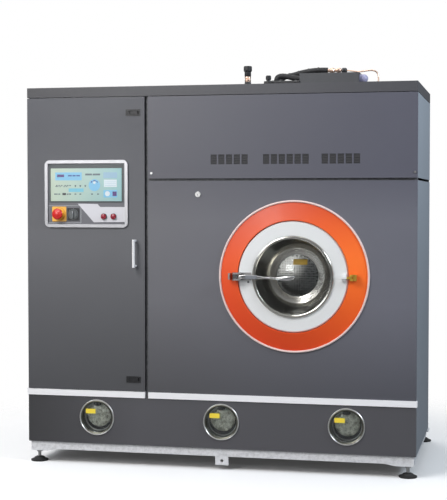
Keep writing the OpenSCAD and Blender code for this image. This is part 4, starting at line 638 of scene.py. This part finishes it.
def blocks(name, corners, finish, body, bevel=0.6 * MM):
    """One piece of several rounded blocks: corners is a list of (low, high)"""
    verts, faces = [], []
    for low, high in corners:
        b = len(verts)
        for z in (low[2], high[2]):
            for y in (low[1], high[1]):
                for x in (low[0], high[0]):
                    verts.append((x, y, z))
        faces += [tuple(b + i for i in f) for f in
                  ((0, 2, 3, 1), (4, 5, 7, 6), (0, 1, 5, 4), (2, 6, 7, 3), (0, 4, 6, 2), (1, 3, 7, 5))]
    o = new_piece(name, verts, faces, finish, body, False)
    if bevel:
        m = o.modifiers.new("Rounded_edges", "BEVEL")
        m.width = bevel
        m.segments = 2
    return o


def plates(name, outlines, y_back, thick, finish, body):
    """Flat plates facing the front: outlines are lists of (x, z), one per plate"""
    verts, faces = [], []
    for line in outlines:
        b, n = len(verts), len(line)
        verts += [(x, y_back, z) for x, z in line] + [(x, y_back - thick, z) for x, z in line]
        faces.append(tuple(b + i for i in range(n)))
        faces.append(tuple(b + n + i for i in range(n - 1, -1, -1)))
        for i in range(n):
            j = (i + 1) % n
            faces.append((b + i, b + n + i, b + n + j, b + j))
    return new_piece(name, verts, faces, finish, body, False)


def rect(x0, z0, x1, z1):
    return [(x0, z0), (x1, z0), (x1, z1), (x0, z1)]


def disc(x, z, r, n=40):
    return [(x + r * math.cos(2 * math.pi * k / n), z + r * math.sin(2 * math.pi * k / n)) for k in range(n)]


# ---- camera, light and floor

WORLD_LIGHT = 0.38
FLOOR_LIFT = 0.04


def link_object(name, data, place=(0, 0, 0)):
    o = bpy.data.objects.new(name, data)
    o.location = place
    scene.collection.objects.link(o)
    return o


def add_camera():
    """The photograph's camera, found by fitting the casing's corners and the door's ellipses"""
    data = bpy.data.cameras.new("Camera")
    data.lens = 94.23
    data.sensor_width = 36.0
    data.clip_end = 100
    cam = link_object("Camera", data, (1.4979, -6.3777 + FRONT, 1.3615))
    yaw, pitch = math.radians(12.884), math.radians(2.194)
    cam.rotation_euler = (math.pi / 2 - pitch, 0.0, yaw)
    scene.camera = cam


def add_softbox(name, place, target, size, power, colour=(1, 1, 1)):
    data = bpy.data.lights.new(name, "AREA")
    data.shape = "RECTANGLE"
    data.size, data.size_y = size
    data.energy = power
    data.color = colour
    lamp = link_object(name, data, place)
    lamp.rotation_euler = (Vector(target) - Vector(place)).to_track_quat("-Z", "Y").to_euler()


def add_world():
    """White to the camera; softer and darker towards the horizon for everything else"""
    world = bpy.data.worlds.new("Studio")
    world.use_nodes = True
    tree = world.node_tree
    tree.nodes.clear()
    rise = ramp(tree, split(tree, node(tree, "TexCoord").outputs["Generated"])["Z"], -0.15, 0.75)
    tone = mix_colour(tree, rise, rgba((0.30, 0.30, 0.31)), rgba((0.95, 0.97, 1.0)))
    soft = node(tree, "Background", Color=tone, Strength=WORLD_LIGHT)
    white = node(tree, "Background", Color=rgba(1))
    pick = node(tree, "MixShader", Fac=node(tree, "LightPath").outputs["Is Camera Ray"])
    for i, shader in enumerate((soft, white)):
        feed(tree, pick.inputs[i + 1], shader.outputs[0])
    node(tree, "OutputWorld", Surface=pick.outputs[0])
    scene.world = world


def add_floor():
    """A pale floor that fades into the white background away from the machine"""
    m, tree, shader = start_material("Floor_pale")
    place = object_place(tree)
    camera = node(tree, "LightPath").outputs["Is Camera Ray"]
    pale = mix_colour(tree, noise(tree, place, 0.6, 2), rgba(0.93), rgba((0.90, 0.90, 0.905)))
    away = node(tree, "VectorMath")
    away.operation = "LENGTH"
    feed(tree, away.inputs[0], place)
    fade = node(tree, "MapRange", Value=away.outputs["Value"], From_Min=1.0, From_Max=2.6, To_Min=1.0,
                To_Max=0.0)
    fade.interpolation_type = "SMOOTHERSTEP"
    near = fade.outputs[0]
    put(tree, shader, Base_Color=mix_colour(tree, camera, rgba(0.22), pale), Roughness=0.55,
        Specular_IOR_Level=0.25, Alpha=mix_value(tree, camera, add(tree, near, 1.0, True), near),
        Emission_Color=rgba(1), Emission_Strength=mul(tree, camera, FLOOR_LIFT))
    mesh = bpy.data.meshes.new("Floor")
    side = 30.0
    mesh.from_pydata([(x, z, 0) for x, z in rect(-side, -side, side, side)], [], [(0, 1, 2, 3)])
    mesh.materials.append(m)
    o = link_object("Floor", mesh)


add_camera()
add_world()
add_floor()
for row in (  # name, place, target, size, power, colour
    ("Key_left", (-1.9, -3.5, 4.1), (-0.1, -0.5, 1.4), (2.4, 1.8), 165, (1.0, 0.985, 0.97)),
    ("Door_glint", (-2.0, -5.0, 2.15), (0.395, -0.4, 1.0), (1.6, 1.4), 45),
    ("Side_left", (-4.0, -0.9, 3.6), (-1.0, 0.0, 1.5), (1.4, 1.6), 40, (0.90, 0.95, 1.0)),
    ("Side_right", (4.3, -1.5, 3.3), (1.0, 0.0, 1.7), (1.4, 1.6), 125, (0.80, 0.90, 1.0)),
    ("Top", (0.3, 0.6, 5.2), (0.0, 0.3, 0.0), (4.0, 3.0), 70),
    ("Drum_glow", (0.245, -0.16, 1.035), (0.275, -0.03, 1.02), (0.15, 0.15), 0.12, (1.0, 0.97, 0.92)),
    ("Back_fill", (-1.5, 4.6, 3.4), (0.0, 0.3, 1.0), (2.4, 2.0), 70),
):
    add_softbox(*row)


# ---- casing details


def vent_inserts():
    """Black slatted inserts behind the slots of the upper panel"""
    low, high = span("upper_front_panel")
    mid_low = low.z + 70 * MM
    slats, frames = [], []
    for x0, count in ((-27, 5), (240, 6), (533, 5)):
        for i in range(count):
            x = (x0 + i * 39.5) * MM
            frames.append(((x - 2 * MM, low.y + 2.2 * MM, mid_low - 2 * MM),
                           (x + 33 * MM, low.y + 3.4 * MM, mid_low + 51 * MM)))
            for k in range(4):
                z = mid_low + (5 + k * 12.5) * MM
                slats.append(((x + 1 * MM, low.y + 0.4 * MM, z),
                              (x + 30 * MM, low.y + 2.6 * MM, z + 4.5 * MM)))
    blocks("vent_backs", frames, "dark_hole", "machine", 0.0)
    blocks("vent_slats", slats, "dark_hole", "machine", 0.0006)


# ---- control panel


def on_display(name, outlines, finish, lift=0.3):
    """Thin plates on the display's face"""
    plates("display_" + name, outlines, span("touch_screen")[0].y, lift * MM, finish, CABINET)


def small_marks(v, us, width=0.022, height=0.03):
    return [(u - width / 2, v - height / 2, u + width / 2, v + height / 2) for u in us]


def display_pages():
    """A plain made-up page for the display: header, two rows of readings, a dial and two keys"""
    low, high = span("touch_screen")
    size = high - low
    rows = small_marks(0.475, (0.085, 0.12, 0.155, 0.205, 0.24, 0.275, 0.35, 0.42, 0.49))
    rows += small_marks(0.445, (0.075, 0.10, 0.135, 0.19, 0.225, 0.35, 0.42, 0.49), 0.018, 0.022)
    rows += small_marks(0.215, (0.06, 0.085, 0.12, 0.24, 0.275, 0.35, 0.42, 0.585, 0.67), 0.026, 0.034)
    for name, boxes, finish, lift in (  # each box is left, bottom, right, top as shares of the display
        ("header", [(0.064, 0.635, 0.44, 0.878)], "ui_blue", 0.3),
        ("band", [(0.254, 0.28, 0.466, 0.39)], "ui_cyan", 0.3),
        ("header_mark", [(0.09, 0.735, 0.19, 0.815)], "ui_plum", 0.5),
        ("header_line", [(u, 0.757, v, 0.795) for u, v in ((0.245, 0.30), (0.31, 0.355), (0.365, 0.415))],
         "ui_navy", 0.5),
        ("title", [(0.49, 0.785, 0.585, 0.84), (0.595, 0.785, 0.70, 0.84)], "ui_dark", 0.3),
        ("right_header", [(0.746, 0.70, 0.94, 0.878)], "ui_steel", 0.3),
        ("table", [(0.754, 0.43, 0.932, 0.654)], "ui_white", 0.3),
        ("table_rows", [(0.765, 0.47 + 0.055 * i, 0.92, 0.478 + 0.055 * i) for i in range(3)],
         "ui_steel", 0.5),
        ("keys", [(0.746, 0.112, 0.94, 0.336)], "ui_blue", 0.3),
        ("readings", rows, "ui_dark", 0.3),
        ("reading_bold", [(0.165, 0.185, 0.215, 0.25)], "ui_black", 0.3),
    ):
        on_display(name, [rect(low.x + u0 * size.x, low.z + v0 * size.z, low.x + u1 * size.x,
                               low.z + v1 * size.z) for u0, v0, u1, v1 in boxes], finish, lift)
    cx, cz = low.x + 0.619 * size.x, low.z + 0.486 * size.z
    on_display("dial", [disc(cx, cz, 30.6 * MM)], "ui_blue")
    arcs = [[(cx + r * MM * math.cos(math.radians(a)), cz + r * MM * math.sin(math.radians(a)))
             for r, turn in ((25, range(a0, a1 + 1, 6)), (20, range(a1, a0 - 1, -6))) for a in turn]
            for a0, a1 in ((35, 62), (72, 108), (118, 145))]
    on_display("dial_marks", arcs, "ui_navy", 0.5)
    on_display("dial_spot", [disc(cx, cz + 13 * MM, 7 * MM, 24)], "ui_white", 0.5)
    key_z = low.z + 0.226 * size.z
    on_display("round_key", [disc(low.x + 0.8025 * size.x, key_z, 12.9 * MM)], "ui_white", 0.5)
    kx = low.x + 0.9025 * size.x
    key = rect(kx - 11 * MM, key_z - 12 * MM, kx + 11 * MM, key_z + 11 * MM)
    on_display("square_key", [key], "ui_plum", 0.5)


def display_surround():
    """Dark printed border between the display and the silver frame"""
    low, high = span("touch_screen")
    side, top, bottom, thick, gap = 9 * MM, 20 * MM, 7 * MM, 1.2 * MM, 0.3 * MM
    y = FRONT + FACE_Y * MM
    x0, x3, z0, z3 = low.x - side, high.x + side, low.z - bottom, high.z + top
    x1, x2, z1, z2 = low.x - gap, high.x + gap, low.z - gap, high.z + gap
    blocks("display_surround", [((xa, y - thick, za), (xb, y, zb)) for xa, za, xb, zb in (
        (x0, z0, x1, z3), (x2, z0, x3, z3), (x1, z2, x2, z3), (x1, z0, x2, z1))],
        "surround", CABINET, 0.0004)


def switch_outline():
    """Fine light line round the emergency stop and the selector"""
    x0, x1, z0, z1, w, t = -889, -709, 1243, 1332, 1.6, 0.5
    parts = [((x0, z0), (x1, z0 + w)), ((x0, z1 - w), (x1, z1)), ((x0, z0 + w), (x0 + w, z1 - w)),
             ((x1 - w, z0 + w), (x1, z1 - w))]
    blocks("switch_outline", [(at(a[0], FACE_Y - t, a[1]), at(b[0], FACE_Y, b[1])) for a, b in parts],
           "line_grey", CABINET, 0.0)


def estop_details():
    """A low crown on the stop knob and the pale arrows' blank ring on its plate"""
    c = middle("estop_knob")
    low = span("estop_knob")[0]
    lathe("estop_crown", (c.x, low.y + 0.4 * MM, c.z), FORWARD,
          [[0, 1.3], [8, 1.2], [13, 0.6], [14, 0], [0, 0]], "red", "estop_knob", 48)
    lathe("estop_plate_ring", (c.x, FRONT + (FACE_Y - 3) * MM, c.z), FORWARD,
          [[31.5, 0], [31.5, 0.5], [33.5, 0.5], [33.5, 0]], "amber_dark", CABINET, 72)


def selector_details():
    """Raised ring and pointer line of the selector switch"""
    c = middle("selector_knob")
    y = FRONT + (FACE_Y - 4) * MM
    lathe("selector_ring", (c.x, y, c.z), FORWARD,
          [[22.5, 0], [22.5, 1.5], [24, 2.2], [26.5, 2.2], [27.5, 0]], "knob",
          CABINET, 72)
    low = span("selector_knob")[0]
    blocks("selector_pointer", [((c.x - 1.2 * MM, low.y - 0.4 * MM, c.z + 4 * MM),
                                 (c.x + 1.2 * MM, low.y + 0.1 * MM, c.z + 16 * MM))], "line_grey",
           "selector_knob", 0.0002)
    ticks = []
    for a in (45, 90, 135):
        dx, dz = math.cos(math.radians(a)) * 29, math.sin(math.radians(a)) * 29
        ticks.append(((c.x + dx * MM - 0.8 * MM, y - 0.4 * MM, c.z + dz * MM - 0.8 * MM),
                      (c.x + dx * MM + 0.8 * MM, y, c.z + dz * MM + 0.8 * MM)))
    blocks("selector_ticks", ticks, "line_grey", CABINET, 0.0)


def lamp_lenses():
    """A low dome on each push button"""
    for name, title in (("start_button", "start_lens"), ("stop_button", "stop_lens")):
        c = middle(name)
        low = span(name)[0]
        lathe(title, (c.x, low.y + 0.3 * MM, c.z), FORWARD,
              [[0, 3.2], [4, 2.9], [8, 1.8], [10.5, 0.4], [11, 0], [0, 0]],
              "lamp", name, 48)


# ---- electric cabinet

CAB_X0, CAB_Z0 = span("electrics")[0].x / MM, span("electrics")[0].z / MM
CAB_X1 = span("electrics")[1].x / MM
GEAR_Y = (span("electrics")[1].y - FRONT) / MM - 17.1


def relay_rows():
    """Terminal strips, coloured toggles and screws on the three rows of relays"""
    toggles, strips, screws, face = [], [], [], GEAR_Y - 80
    for row in range(3):
        z = CAB_Z0 + 300 + 180 * row
        for i in range(7):
            x = CAB_X0 + 60 + 62 * i
            strips += [(at(x + 3, face - 1.6, z + 4), at(x + 43, face, z + 17)),
                       (at(x + 3, face - 1.6, z + 69), at(x + 43, face, z + 82))]
            toggles.append((at(x + 14, face - 6, z + 36), at(x + 32, face - 0.2, z + 52)))
            screws += [(x + 10 + 13 * k, z + h) for k in range(3) for h in (10.5, 75.5)]
    blocks("relay_terminals", strips, "relay_pale", "machine", 0.0006)
    blocks("relay_toggles", toggles, "relay_blue", "machine", 0.0012)
    heads = [disc(x * MM, z * MM, 3.4 * MM, 12) for x, z in screws]
    plates("relay_screws", heads, FRONT + (face - 1.6) * MM, 0.9 * MM, "bright", "machine")


def duct_slots():
    """Comb slots of the three wiring ducts"""
    slots, lids, y = [], [], GEAR_Y - 45
    for row in range(3):
        z = CAB_Z0 + 300 + 180 * row
        lids.append((at(CAB_X0 + 42, y - 2.4, z - 59), at(CAB_X1 - 42, y, z - 21)))
        for i in range(38):
            x = CAB_X0 + 50 + 13 * i
            if x < CAB_X1 - 50:
                slots.append((at(x, y + 8, z - 61.2), at(x + 5, y + 40, z - 60)))
                slots.append((at(x, y + 8, z - 20), at(x + 5, y + 40, z - 18.8)))
    blocks("duct_lids", lids, "duct_grey", "machine", 0.0012)
    blocks("duct_slots", slots, "black", "machine", 0.0)


def cabinet_wires():
    """Coloured wires that run from the ducts to the relays"""
    tones = ("wire_red", "wire_black", "wire_blue", "wire_green")
    for row in range(3):
        z = CAB_Z0 + 300 + 180 * row
        for i in range(7):
            x = CAB_X0 + 60 + 62 * i
            for k in range(3):
                wx = x + 10 + 13 * k
                tube("relay_wire_%d_%d_%d" % (row, i, k), [
                    at(wx, GEAR_Y - 82, z + 8), at(wx, GEAR_Y - 92, z - 1), at(wx + 1, GEAR_Y - 84, z - 14),
                    at(wx + 1, GEAR_Y - 52, z - 22)], 1.7 * MM, tones[(i + k + row) % 4], "machine", 6, 4)


def device_faces():
    """Fins, keypad and vents on the inverter, the controller and the transformer"""
    width, y = CAB_X1 - CAB_X0, GEAR_Y

    def box(x0, z0, x1, z1, out, deep):
        """From the cabinet's lower left corner, and outwards from the plate the gear stands on"""
        return at(CAB_X0 + x0, y - out, CAB_Z0 + z0), at(CAB_X0 + x1, y - deep, CAB_Z0 + z1)

    fins = [box(68 + 10 * i, z0, 72 + 10 * i, z1, 142, 139.8) for i in range(15)
            for z0, z1 in ((1060, 1112), (868, 905))]
    fins += [box(70 + 22 * i, 105, 82 + 22 * i, 215, 122.5, 119.8) for i in range(6)]
    pads = [box(95, 940, 185, 1040, 144, 139.8), box(275, 925, width - 75, 1055, 77.5, 74.8)]
    keys = [box(104 + 26 * i, 952 + 20 * k, 122 + 26 * i, 965 + 20 * k, 146, 143.8) for i in range(3)
            for k in range(2)]
    keys += [box(290 + 34 * i, 1030, 312 + 34 * i, 1044, 79.5, 77.3) for i in range(6)]
    blocks("device_fins", fins, "black", "machine", 0.0)
    blocks("device_panels", pads, "relay_pale", "machine", 0.001)
    blocks("device_keys", keys, "relay_blue", "machine", 0.0006)


def door_seal():
    """Seal round the inside of the cabinet door, outside its latches"""
    low, high = span("cabinet_door")
    x0, x1, z0, z1 = low.x / MM + 34, high.x / MM - 17, low.z / MM + 34, high.z / MM - 34
    seal = [at(x, 6.5, z) for x, z in ((x0, z0), (x1, z0), (x1, z1), (x0, z1), (x0, z0))]
    tube("cabinet_door_seal", seal, 4 * MM, "rubber", CABINET, 10, 1)


# ---- loading door


def glass_sag(r):
    """How far the domed glass falls back from its crown at radius r in millimetres"""
    edge, dome = 103.0, 20.0
    big = (edge * edge + dome * dome) / (2 * dome)
    return (big - math.sqrt(big * big - r * r)) * MM


def blank_patch():
    """Small blank amber label on the glass, bent to its dome"""
    low = span("door_glass")[0]
    x0, x1, z0, z1 = -20.0, 52.0, 54.0, 82.0
    verts, faces = [], []
    nx, nz = 14, 5
    for k in range(nz):
        for i in range(nx):
            x, z = x0 + (x1 - x0) * i / (nx - 1), z0 + (z1 - z0) * k / (nz - 1)
            verts.append((DOOR.x + x * MM, low.y + glass_sag(math.hypot(x, z)) - 0.8 * MM, DOOR.z + z * MM))
    for k in range(nz - 1):
        for i in range(nx - 1):
            a = k * nx + i
            faces.append((a, a + 1, a + 1 + nx, a + nx))
    o = new_piece("glass_blank_patch", verts, faces, "amber_label", "loading_door", True)
    m = o.modifiers.new("Label_thickness", "SOLIDIFY")
    m.thickness = 0.4 * MM
    m.offset = 0


def lever_handle():
    """Cast lever: pivot block, flat bar, round neck and a paddle that turns up at its tip"""
    low, high = span("door_lever")
    pivot = Vector((low.x + 13 * MM, 0, DOOR.z))
    y = low.y + 13 * MM
    tilt = math.tan(math.radians(1.8))
    length = (high.x - pivot.x) / MM

    def on_bar(x, dz=0.0, dy=0.0):
        return Vector((pivot.x + x * MM, y + dy * MM, DOOR.z - x * MM * tilt + dz * MM))

    sections = [  # distance along the bar, half height, half thickness, lift
        (10, 9.6, 5.6, 0), (40, 10.0, 5.8, 0), (92, 9.6, 5.4, 0), (126, 8.6, 5.2, 0), (134, 6.8, 5.4, 0),
        (150, 5.8, 5.4, 0), (196, 5.6, 5.2, 0), (214, 6.2, 5.4, 0), (228, 8.2, 6.0, 0),
        (244, 11.6, 6.8, 0.5), (262, 13.4, 7.4, 1.6), (280, 12.4, 7.2, 3.6), (length - 8, 8.6, 5.4, 6.8),
        (length - 1.5, 3.2, 2.2, 9.2),
    ]
    verts, sides = [], 24
    for x, hz, hy, lift in sections:
        for k in range(sides):
            a = 2 * math.pi * k / sides
            squared = 0.55 if x < 130 else 1.0
            ca, sa = math.cos(a), math.sin(a)
            p = on_bar(x, math.copysign(abs(sa) ** squared, sa) * hz + lift, 0)
            verts.append(p + Vector((0, math.copysign(abs(ca) ** squared, ca) * hy * MM, 0)))
    faces = skin(len(sections), sides)
    o = new_piece("lever_bar", verts, faces, "polished", "door_lever", True)
    b = o.modifiers.new("Smooth_casting", "SUBSURF")
    b.levels = b.render_levels = 1
    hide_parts("door_lever")
    eye = (pivot.x, low.y + 14 * MM, DOOR.z)
    hub = lathe("lever_hub", eye, UP, [
        [4.2, -11], [11, -11], [12.6, -9.5], [12.6, 9.5], [11, 11],
        [4.2, 11]], "polished", "door_lever", 48)
    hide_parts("door_lever")
    sleeve = blocks("lever_dark_sleeve", [(on_bar(52, -10.6, -6.4), on_bar(112, 10.4, 6.4))], "lever_grey",
                    "door_lever", 0.0016)
    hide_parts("door_lever")


def ring_dark_dot():
    """Small dark domed dot on the white ring, below the lever"""
    face = span("door_ring")[0].y
    lathe("ring_dark_dot", (DOOR.x - 224 * MM, face + 0.3 * MM, DOOR.z - 28 * MM), FORWARD,
          [[0, 1.4], [1.2, 1.4], [1.4, 2.4], [4.2, 2.0], [5.2, 0.8],
           [5.4, 0], [0, 0]], "knob", "loading_door", 32)


# ---- sight ports


PORT_XS = (-628, 27, 660)


def port_height():
    low, high = span("sight_rings")
    return (low.z + high.z) / 2


def port_rings():
    """Thin flange ring, dark seat and dark tube round each sight glass"""
    z = port_height()
    deep = (span("solvent_tanks")[0].y - FRONT) / MM - 8
    for i, x in enumerate(PORT_XS):
        place = (x * MM, FRONT, z)
        rim = lathe("port_rim_%d" % (i + 1), place, BACK, [
            (92, 0.2), (92, -4.6), (90.6, -6), (87.4, -6), (86, -4.4), (86, 0.2)], "port_steel",
            "machine", 128)
        # The dark seat and tube are partly painted shade, for the shadow inside the port
        seat = lathe("port_seat_%d" % (i + 1), place, BACK, [
            (85.9, -3.6), (84, -4.2), (79, -2.4), (77.6, -0.2), (76.8, 8.8), (76.8, deep), (81, deep),
            (81, 2), (85.9, 1)], "port_dark", "machine", 128)
        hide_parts("sight_rings")
        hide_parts("sight_rings")


def port_details():
    """Dished cover, seal and step ring in each port, a dark slot over them and a blank label on the glass"""
    z = port_height()
    glass_front = span("sight_glasses")[0].y
    back = (span("solvent_tanks")[0].y - FRONT) / MM + 6
    slots, labels = [], []
    dome = [[0, 26], [16, 26.4], [32, 28], [46, 30.8], [56, 34.4], [62, 38.5], [64.5, 44], [64.5, back],
            [0, back]]
    seal = [[54, 46], [56, 43], [70, 42], [72, 44], [72, 52], [54, 52]]
    step = [[70.5, 34], [71, 32], [74, 32], [74.5, 34], [74.5, 52], [70.5, 52]]
    for i, x in enumerate(PORT_XS):
        for title, outline, finish, lift in (("cover", dome, "cover", 11), ("seal", seal, "rubber", 0),
                                             ("step_ring", step, "port_steel", 1)):
            lathe("port_%s_%d" % (title, i + 1), (x * MM, FRONT, z + lift * MM), BACK,
                  outline, finish, "machine", 96, 30)
        slots.append([((x - 2 + 21 * math.cos(a)) * MM, z + (66.4 + 9.2 * math.sin(a)) * MM)
                      for a in [2 * math.pi * k / 40 for k in range(40)]])
        labels.append(rect((x - 60) * MM, z + 19 * MM, (x - 8) * MM, z + 43 * MM))
    plates("port_slots", slots, FRONT + 16 * MM, 1.0 * MM, "black", "machine")
    plates("port_blank_labels", labels, glass_front, 0.5 * MM, "yellow_label", "machine")


# ---- roof fittings


def relief_valve():
    x, y = 100, 300
    base = at(x, y, ROOF)
    low = lathe("relief_base", base, UP, [
        [0, 0], [24, 0], [24, 6], [19, 9], [17, 16], [19, 20],
        [19, 34], [15, 38], [0, 38]], "black", "machine", 6)
    band = lathe("relief_copper_band", base, UP, [
        [0, 36], [14, 36], [16, 39], [16, 48], [13.5, 50],
        [13.5, 53], [16, 55], [16, 63], [14, 65], [0, 65]], "copper",
        "machine", 48)
    cap = lathe("relief_cap", base, UP, [
        [0, 64], [15, 64], [17, 67], [17, 88], [21.5, 93],
        [21.5, 113], [19, 118], [0, 119]], "insulation", "machine", 48)
    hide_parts("roof_pipes")
    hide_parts("roof_pipes")
    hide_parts("copper_pipes")


def hand_valve():
    x, y = 209, 300
    body = lathe("hand_valve_body", at(x, y, ROOF), UP, [
        [5.2, 0], [20, 0], [20, 5], [13, 8], [12, 16], [15, 19],
        [15, 30], [12, 33], [11, 43.6], [5.2, 43.6]], "black", "machine", 48)
    end = tube("low_roof_pipe_end", [at(px, y, ROOF + 28) for px in (187, 195, 202)], 11.5 * MM,
               "insulation", "machine", 24, 1)
    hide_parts("roof_pipes")
    low_pipe = tube("low_roof_pipe", [at(px, y, ROOF + 28) for px in (216, 230, 260, 320, 372)], 11.5 * MM,
                    "insulation", "machine")
    nuts = []
    for px in (224, 262, 345):
        nuts.append(lathe("low_pipe_nut_%d" % px, at(px, y, ROOF + 28), RIGHT, [
            [10, 0], [13, 1], [14.4, 3], [14.4, 13], [13, 15],
            [10, 16]], "black", "machine", 6))
    for piece in [body, low_pipe] + nuts:
        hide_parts("roof_pipes")


def roof_hoses():
    """Two insulated pipes that come up through the lid and bend over to the box and the copper fittings"""
    y_hose, y_high = 335, 447
    hose = tube("thick_roof_hose", [at(x, y_hose, ROOF + z) for x, z in (
        (246, -15), (246, 20), (246, 44), (253, 60), (272, 66), (304, 63), (338, 55), (372, 52))],
        14 * MM, "insulation", "machine", 24, 8, 0.6 * MM)
    high = tube("high_roof_hose", [at(x, y_high, ROOF + z) for x, z in (
        (250, -15), (250, 36), (253, 58), (272, 72), (318, 82), (362, 93), (410, 101), (455, 104),
        (497, 103))],
        13.5 * MM, "insulation", "machine", 24, 9, 0.6 * MM)
    ties = []
    for i, (x, z) in enumerate(((292, 77), (340, 88), (394, 99), (446, 104))):
        ties.append(lathe("hose_tie_%d" % (i + 1), at(x, y_high, ROOF + z), (1, 0, 0.18), [
            [13, 0], [15.6, 0.8], [15.6, 6], [13, 6.8]], "black", "machine", 32))
    collars = []
    for i, (x, y, r) in enumerate(((246, y_hose, 14), (250, y_high, 12))):
        collars.append(lathe("roof_grommet_%d" % (i + 1), at(x, y, ROOF), UP, [
            [r, 0], [r + 10, 0], [r + 10, 3], [r + 4, 7], [r + 1, 9],
            [r, 9]], "rubber", "machine", 48))
    for piece in [hose, high] + ties + collars:
        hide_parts("roof_pipes")


def copper_fittings():
    """Brazed fittings, the solenoid coil and the thin line that bends down into the lid"""
    y = 447
    z = ROOF + 101
    sleeve = lathe("copper_sleeve", at(488, y, z), RIGHT, [
        [0, 0], [9, 0], [9, 18], [11, 20], [14, 24], [14, 38],
        [11, 42], [8.5, 46], [8.5, 54], [11, 56], [13.6, 59],
        [13.6, 72], [11, 76], [6, 80], [6, 86], [0, 86]], "copper",
        "machine", 48)
    coil = lathe("solenoid_coil", at(570, y, z - 2), RIGHT, [
        [4.3, 0], [11, 0], [14.5, 3], [15, 7], [15, 20], [13, 24],
        [9, 27], [4.3, 27]], "coil_black", "machine", 48)
    line = tube("copper_line", [at(x, y, z + drop) for x, drop in (
        (566, -2), (600, -2), (628, -5), (656, -9), (690, -6), (722, -3), (742, -7), (755, -17), (761, -34),
        (761, -62))] + [at(761, y, ROOF - 14)], 4 * MM, "copper", "machine", 20, 8)
    grommet = lathe("copper_line_grommet", at(761, y, ROOF), UP, [
        [4.2, 0], [11, 0], [11, 3], [6, 6], [4.2, 6]], "rubber", "machine",
        40)
    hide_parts("roof_pipes")
    for piece in (sleeve, line, grommet):
        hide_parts("copper_pipes")
    service_pipes()


def service_pipes():
    """Threaded pipe ends at the back, each with its lock nut"""
    back = (span("rear_covers")[1].y - FRONT) / MM
    out = (span("copper_pipes")[1].y - FRONT) / MM
    for i, (x, r) in enumerate(((620, 14), (700, 14), (780, 10.5))):
        outline = [[0, -58], [r - 0.4, -58], [r - 0.4, out - back - 26]]
        for k in range(12):
            d = out - back - 25 + 2 * k
            outline += [[r, d], [r - 1.0, d + 1.0]]
        outline += [[r - 1.2, out - back], [r - 4, out - back], [r - 4, out - back - 22],
                    [0, out - back - 22]]
        pipe = lathe("service_pipe_%d" % (i + 1), at(x, back, 309), BACK,
                     [[max(a, 0), b] for a, b in outline], "copper", "machine", 48)
        nut = lathe("service_nut_%d" % (i + 1), at(x, back, 309), BACK, [
            [r, 0], [r + 7, 0], [r + 8, 1.2], [r + 8, 7], [r + 6.6, 8.4], [r, 8.4]], "brass", "machine", 6)
        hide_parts("copper_pipes")
        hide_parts("copper_pipes")


for make in (
    vent_inserts, display_surround, display_pages, switch_outline, estop_details, selector_details,
    lamp_lenses, relay_rows, duct_slots, cabinet_wires, device_faces, door_seal, blank_patch,
    lever_handle, ring_dark_dot, port_rings, port_details, relief_valve, hand_valve, roof_hoses,
    copper_fittings,
):
    make()
for name, width in (
    ("plinth_panel", 1.4), ("lower_front_panel", 1.4), ("upper_front_panel", 1.0), ("top_cover", 1.6),
    ("side_panels", 0.5), ("rear_covers", 0.8), ("cabinet_door", 1.2), ("trim_strips", 2.0),
    ("base_frame", 1.5), ("roof_box", 1.0), ("door_bezel", 2.6), ("touch_screen", 0.8),
    ("control_plate", 0.5), ("door_arm", 0.8), ("door_hardware", 0.6), ("switch_blocks", 0.5),
    ("selector_knob", 0.6),
):
    soften(name, width * MM)
